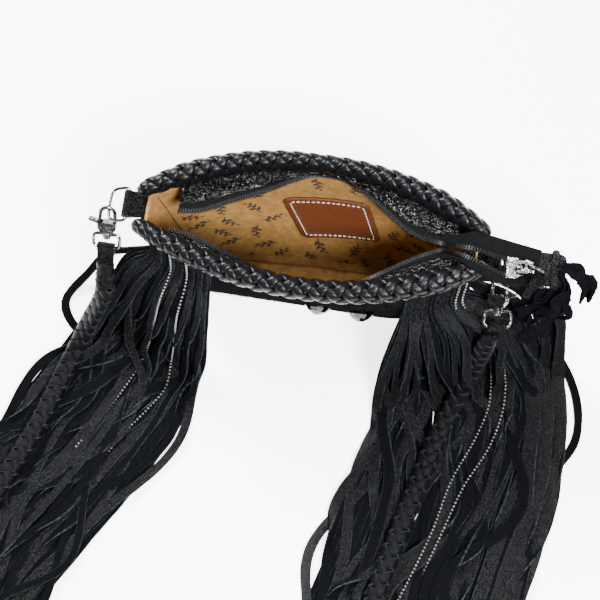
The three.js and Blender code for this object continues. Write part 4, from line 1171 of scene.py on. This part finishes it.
for fringe in FRINGES:
    draw = random.Random(fringe["seed"])
    build = Build()
    band = [
        [infront(lerp(fringe["from"], fringe["to"], share), height, distance) for share in steps(14)]
        for height in (HEAD["bottom"], HEAD["top"])
        for distance in (HEAD["gap"], HEAD["gap"] + HEAD["wall"])
    ]
    build.skin([band[0] + band[1][::-1], band[2] + band[3][::-1]])
    for count, lifts, widths, sways, twists in LAYERS:
        for i in range(count):
            share = (i + draw.uniform(0.2, 0.8)) / count
            cross = draw.uniform(-0.3, 0.3) * (lifts[0] > 1 and draw.random() < 0.6)
            reach = draw.uniform(0, 26) * min(1, lifts[1] / 4)
            points = between(fringe, share)
            for k, there in enumerate(between(fringe, min(1, max(0, share + cross)))):
                x, y, *z = (lerp(a, b, min(1, k / 5)) for a, b in zip(points[k], there))
                points[k] = (x, y - reach * BULGE[k], *z)
            lift = lerp(*lifts, (i * 0.618) % 1)
            sway, twist = draw.uniform(*sways), draw.uniform(*twists)
            fringe_strip(build, fringe, share, points, lift, draw.uniform(*widths), sway, twist, draw)
    fringe_strip(build, fringe, 1, fringe["loose"], lift=0.5, width=7, sway=4, twist=0.5, draw=draw)
    fringe_strip(build, fringe, 0.75, fringe["crossing"], lift=0.5, width=9, sway=2, twist=0.6, draw=draw)
    for points in fringe["beside"]:
        fringe_strip(
            build, fringe, 1, points, lift=2.1, width=11, sway=3, twist=0.5, draw=draw, hangs=False
        )
    name = "fringe_" + fringe["name"]
    build.piece(name + "_strips", STRIP_FINISHES, "black_suede", [name], crease=40)

# Ball chains: fine bright beads on a wire, hung with the fringe from its bands and lying over it. The
# table gives where each hangs on its band, how far below its route it lies on the strips, and the route.
CHAINS = [
    ("ball_chain_left_a", -99, 2.5, [
        (-104, -64, 106), (-109, -72, 58), (-113, -86, 22), (-116, -103, 11), (-127, -121, 9),
        (-142, -142, 9), (-163, -176, 9),
    ]),
    ("ball_chain_left_b", -112, 2.5, [
        (-119, -54, 106), (-127, -63, 58), (-135, -80, 22), (-146, -101, 11), (-161, -129, 9),
        (-180, -160, 9),
    ]),
    ("ball_chain_right_a", 104, -2.4, [
        (117, -43, 106), (137, -50, 58), (146, -64, 22), (147, -86, 11), (139, -113, 9), (124, -148, 9),
        (113, -190, 9), (101, -225, 9), (92, -248, 9),
    ]),
    ("ball_chain_right_b", 109, -2.4, [
        (124, -39, 106), (147, -45, 58), (157, -60, 22), (159, -86, 11), (151, -118, 9), (134, -152, 9),
        (121, -190, 9), (110, -222, 9),
    ]),
]
BEAD_RINGS = [(-0.94, 0.34), (-0.55, 0.84), (0, 1), (0.55, 0.84), (0.94, 0.34)]
BEAD = {"radius": 0.85, "pitch": 3.1, "wire": 0.14}
bead_silver = surface("bead_silver", 0.3, [(0.2, 0.2, 0.2), (0.42, 0.42, 0.41)], 0.004, Metallic=1)
for name, head_x, depth, points in CHAINS:
    on_band = HEAD["gap"] + HEAD["wall"] + 1.5
    top = [infront(head_x, HEAD["top"] - 2, on_band), infront(head_x, HEAD["bottom"] - 6, on_band + 9.5)]
    line = smooth_line(top + points, step=BEAD["pitch"])
    for i, point in enumerate(line):
        sunk = depth + 2.4 * noise.noise(Vector((i / 14, head_x, 0)))
        point.z -= sunk * min(1, max(0, (30 - point.z) / 20))
    build = Build()
    for point in line:
        rings = []
        for high, wide in BEAD_RINGS:
            rings.append(
                [point + Vector((u * wide, v * wide, high)) * BEAD["radius"] for u, v in circle(1, 10)]
            )
        build.skin(rings)
    beads = len(build.faces)
    sweep(build, line, [Vector((0.1, 0.3, 1))] * len(line), circle(BEAD["wire"], 5))
    build.finish_of[beads:] = [1] * (len(build.faces) - beads)
    build.piece(name + "_beads", [bead_silver, dark_metal], "silver", [name])

# Conchos: two faceted studs of bright cast metal near the front's top edge, fixed through the front
# panel.
crystal = surface(
    "concho_silver", 0.12, [(0.012, 0.012, 0.013), (0.07, 0.07, 0.07)], 0.003, (0.42, 0.58), Metallic=1
)
for name in CONCHOS:
    remade(name, crystal, smooth=False)
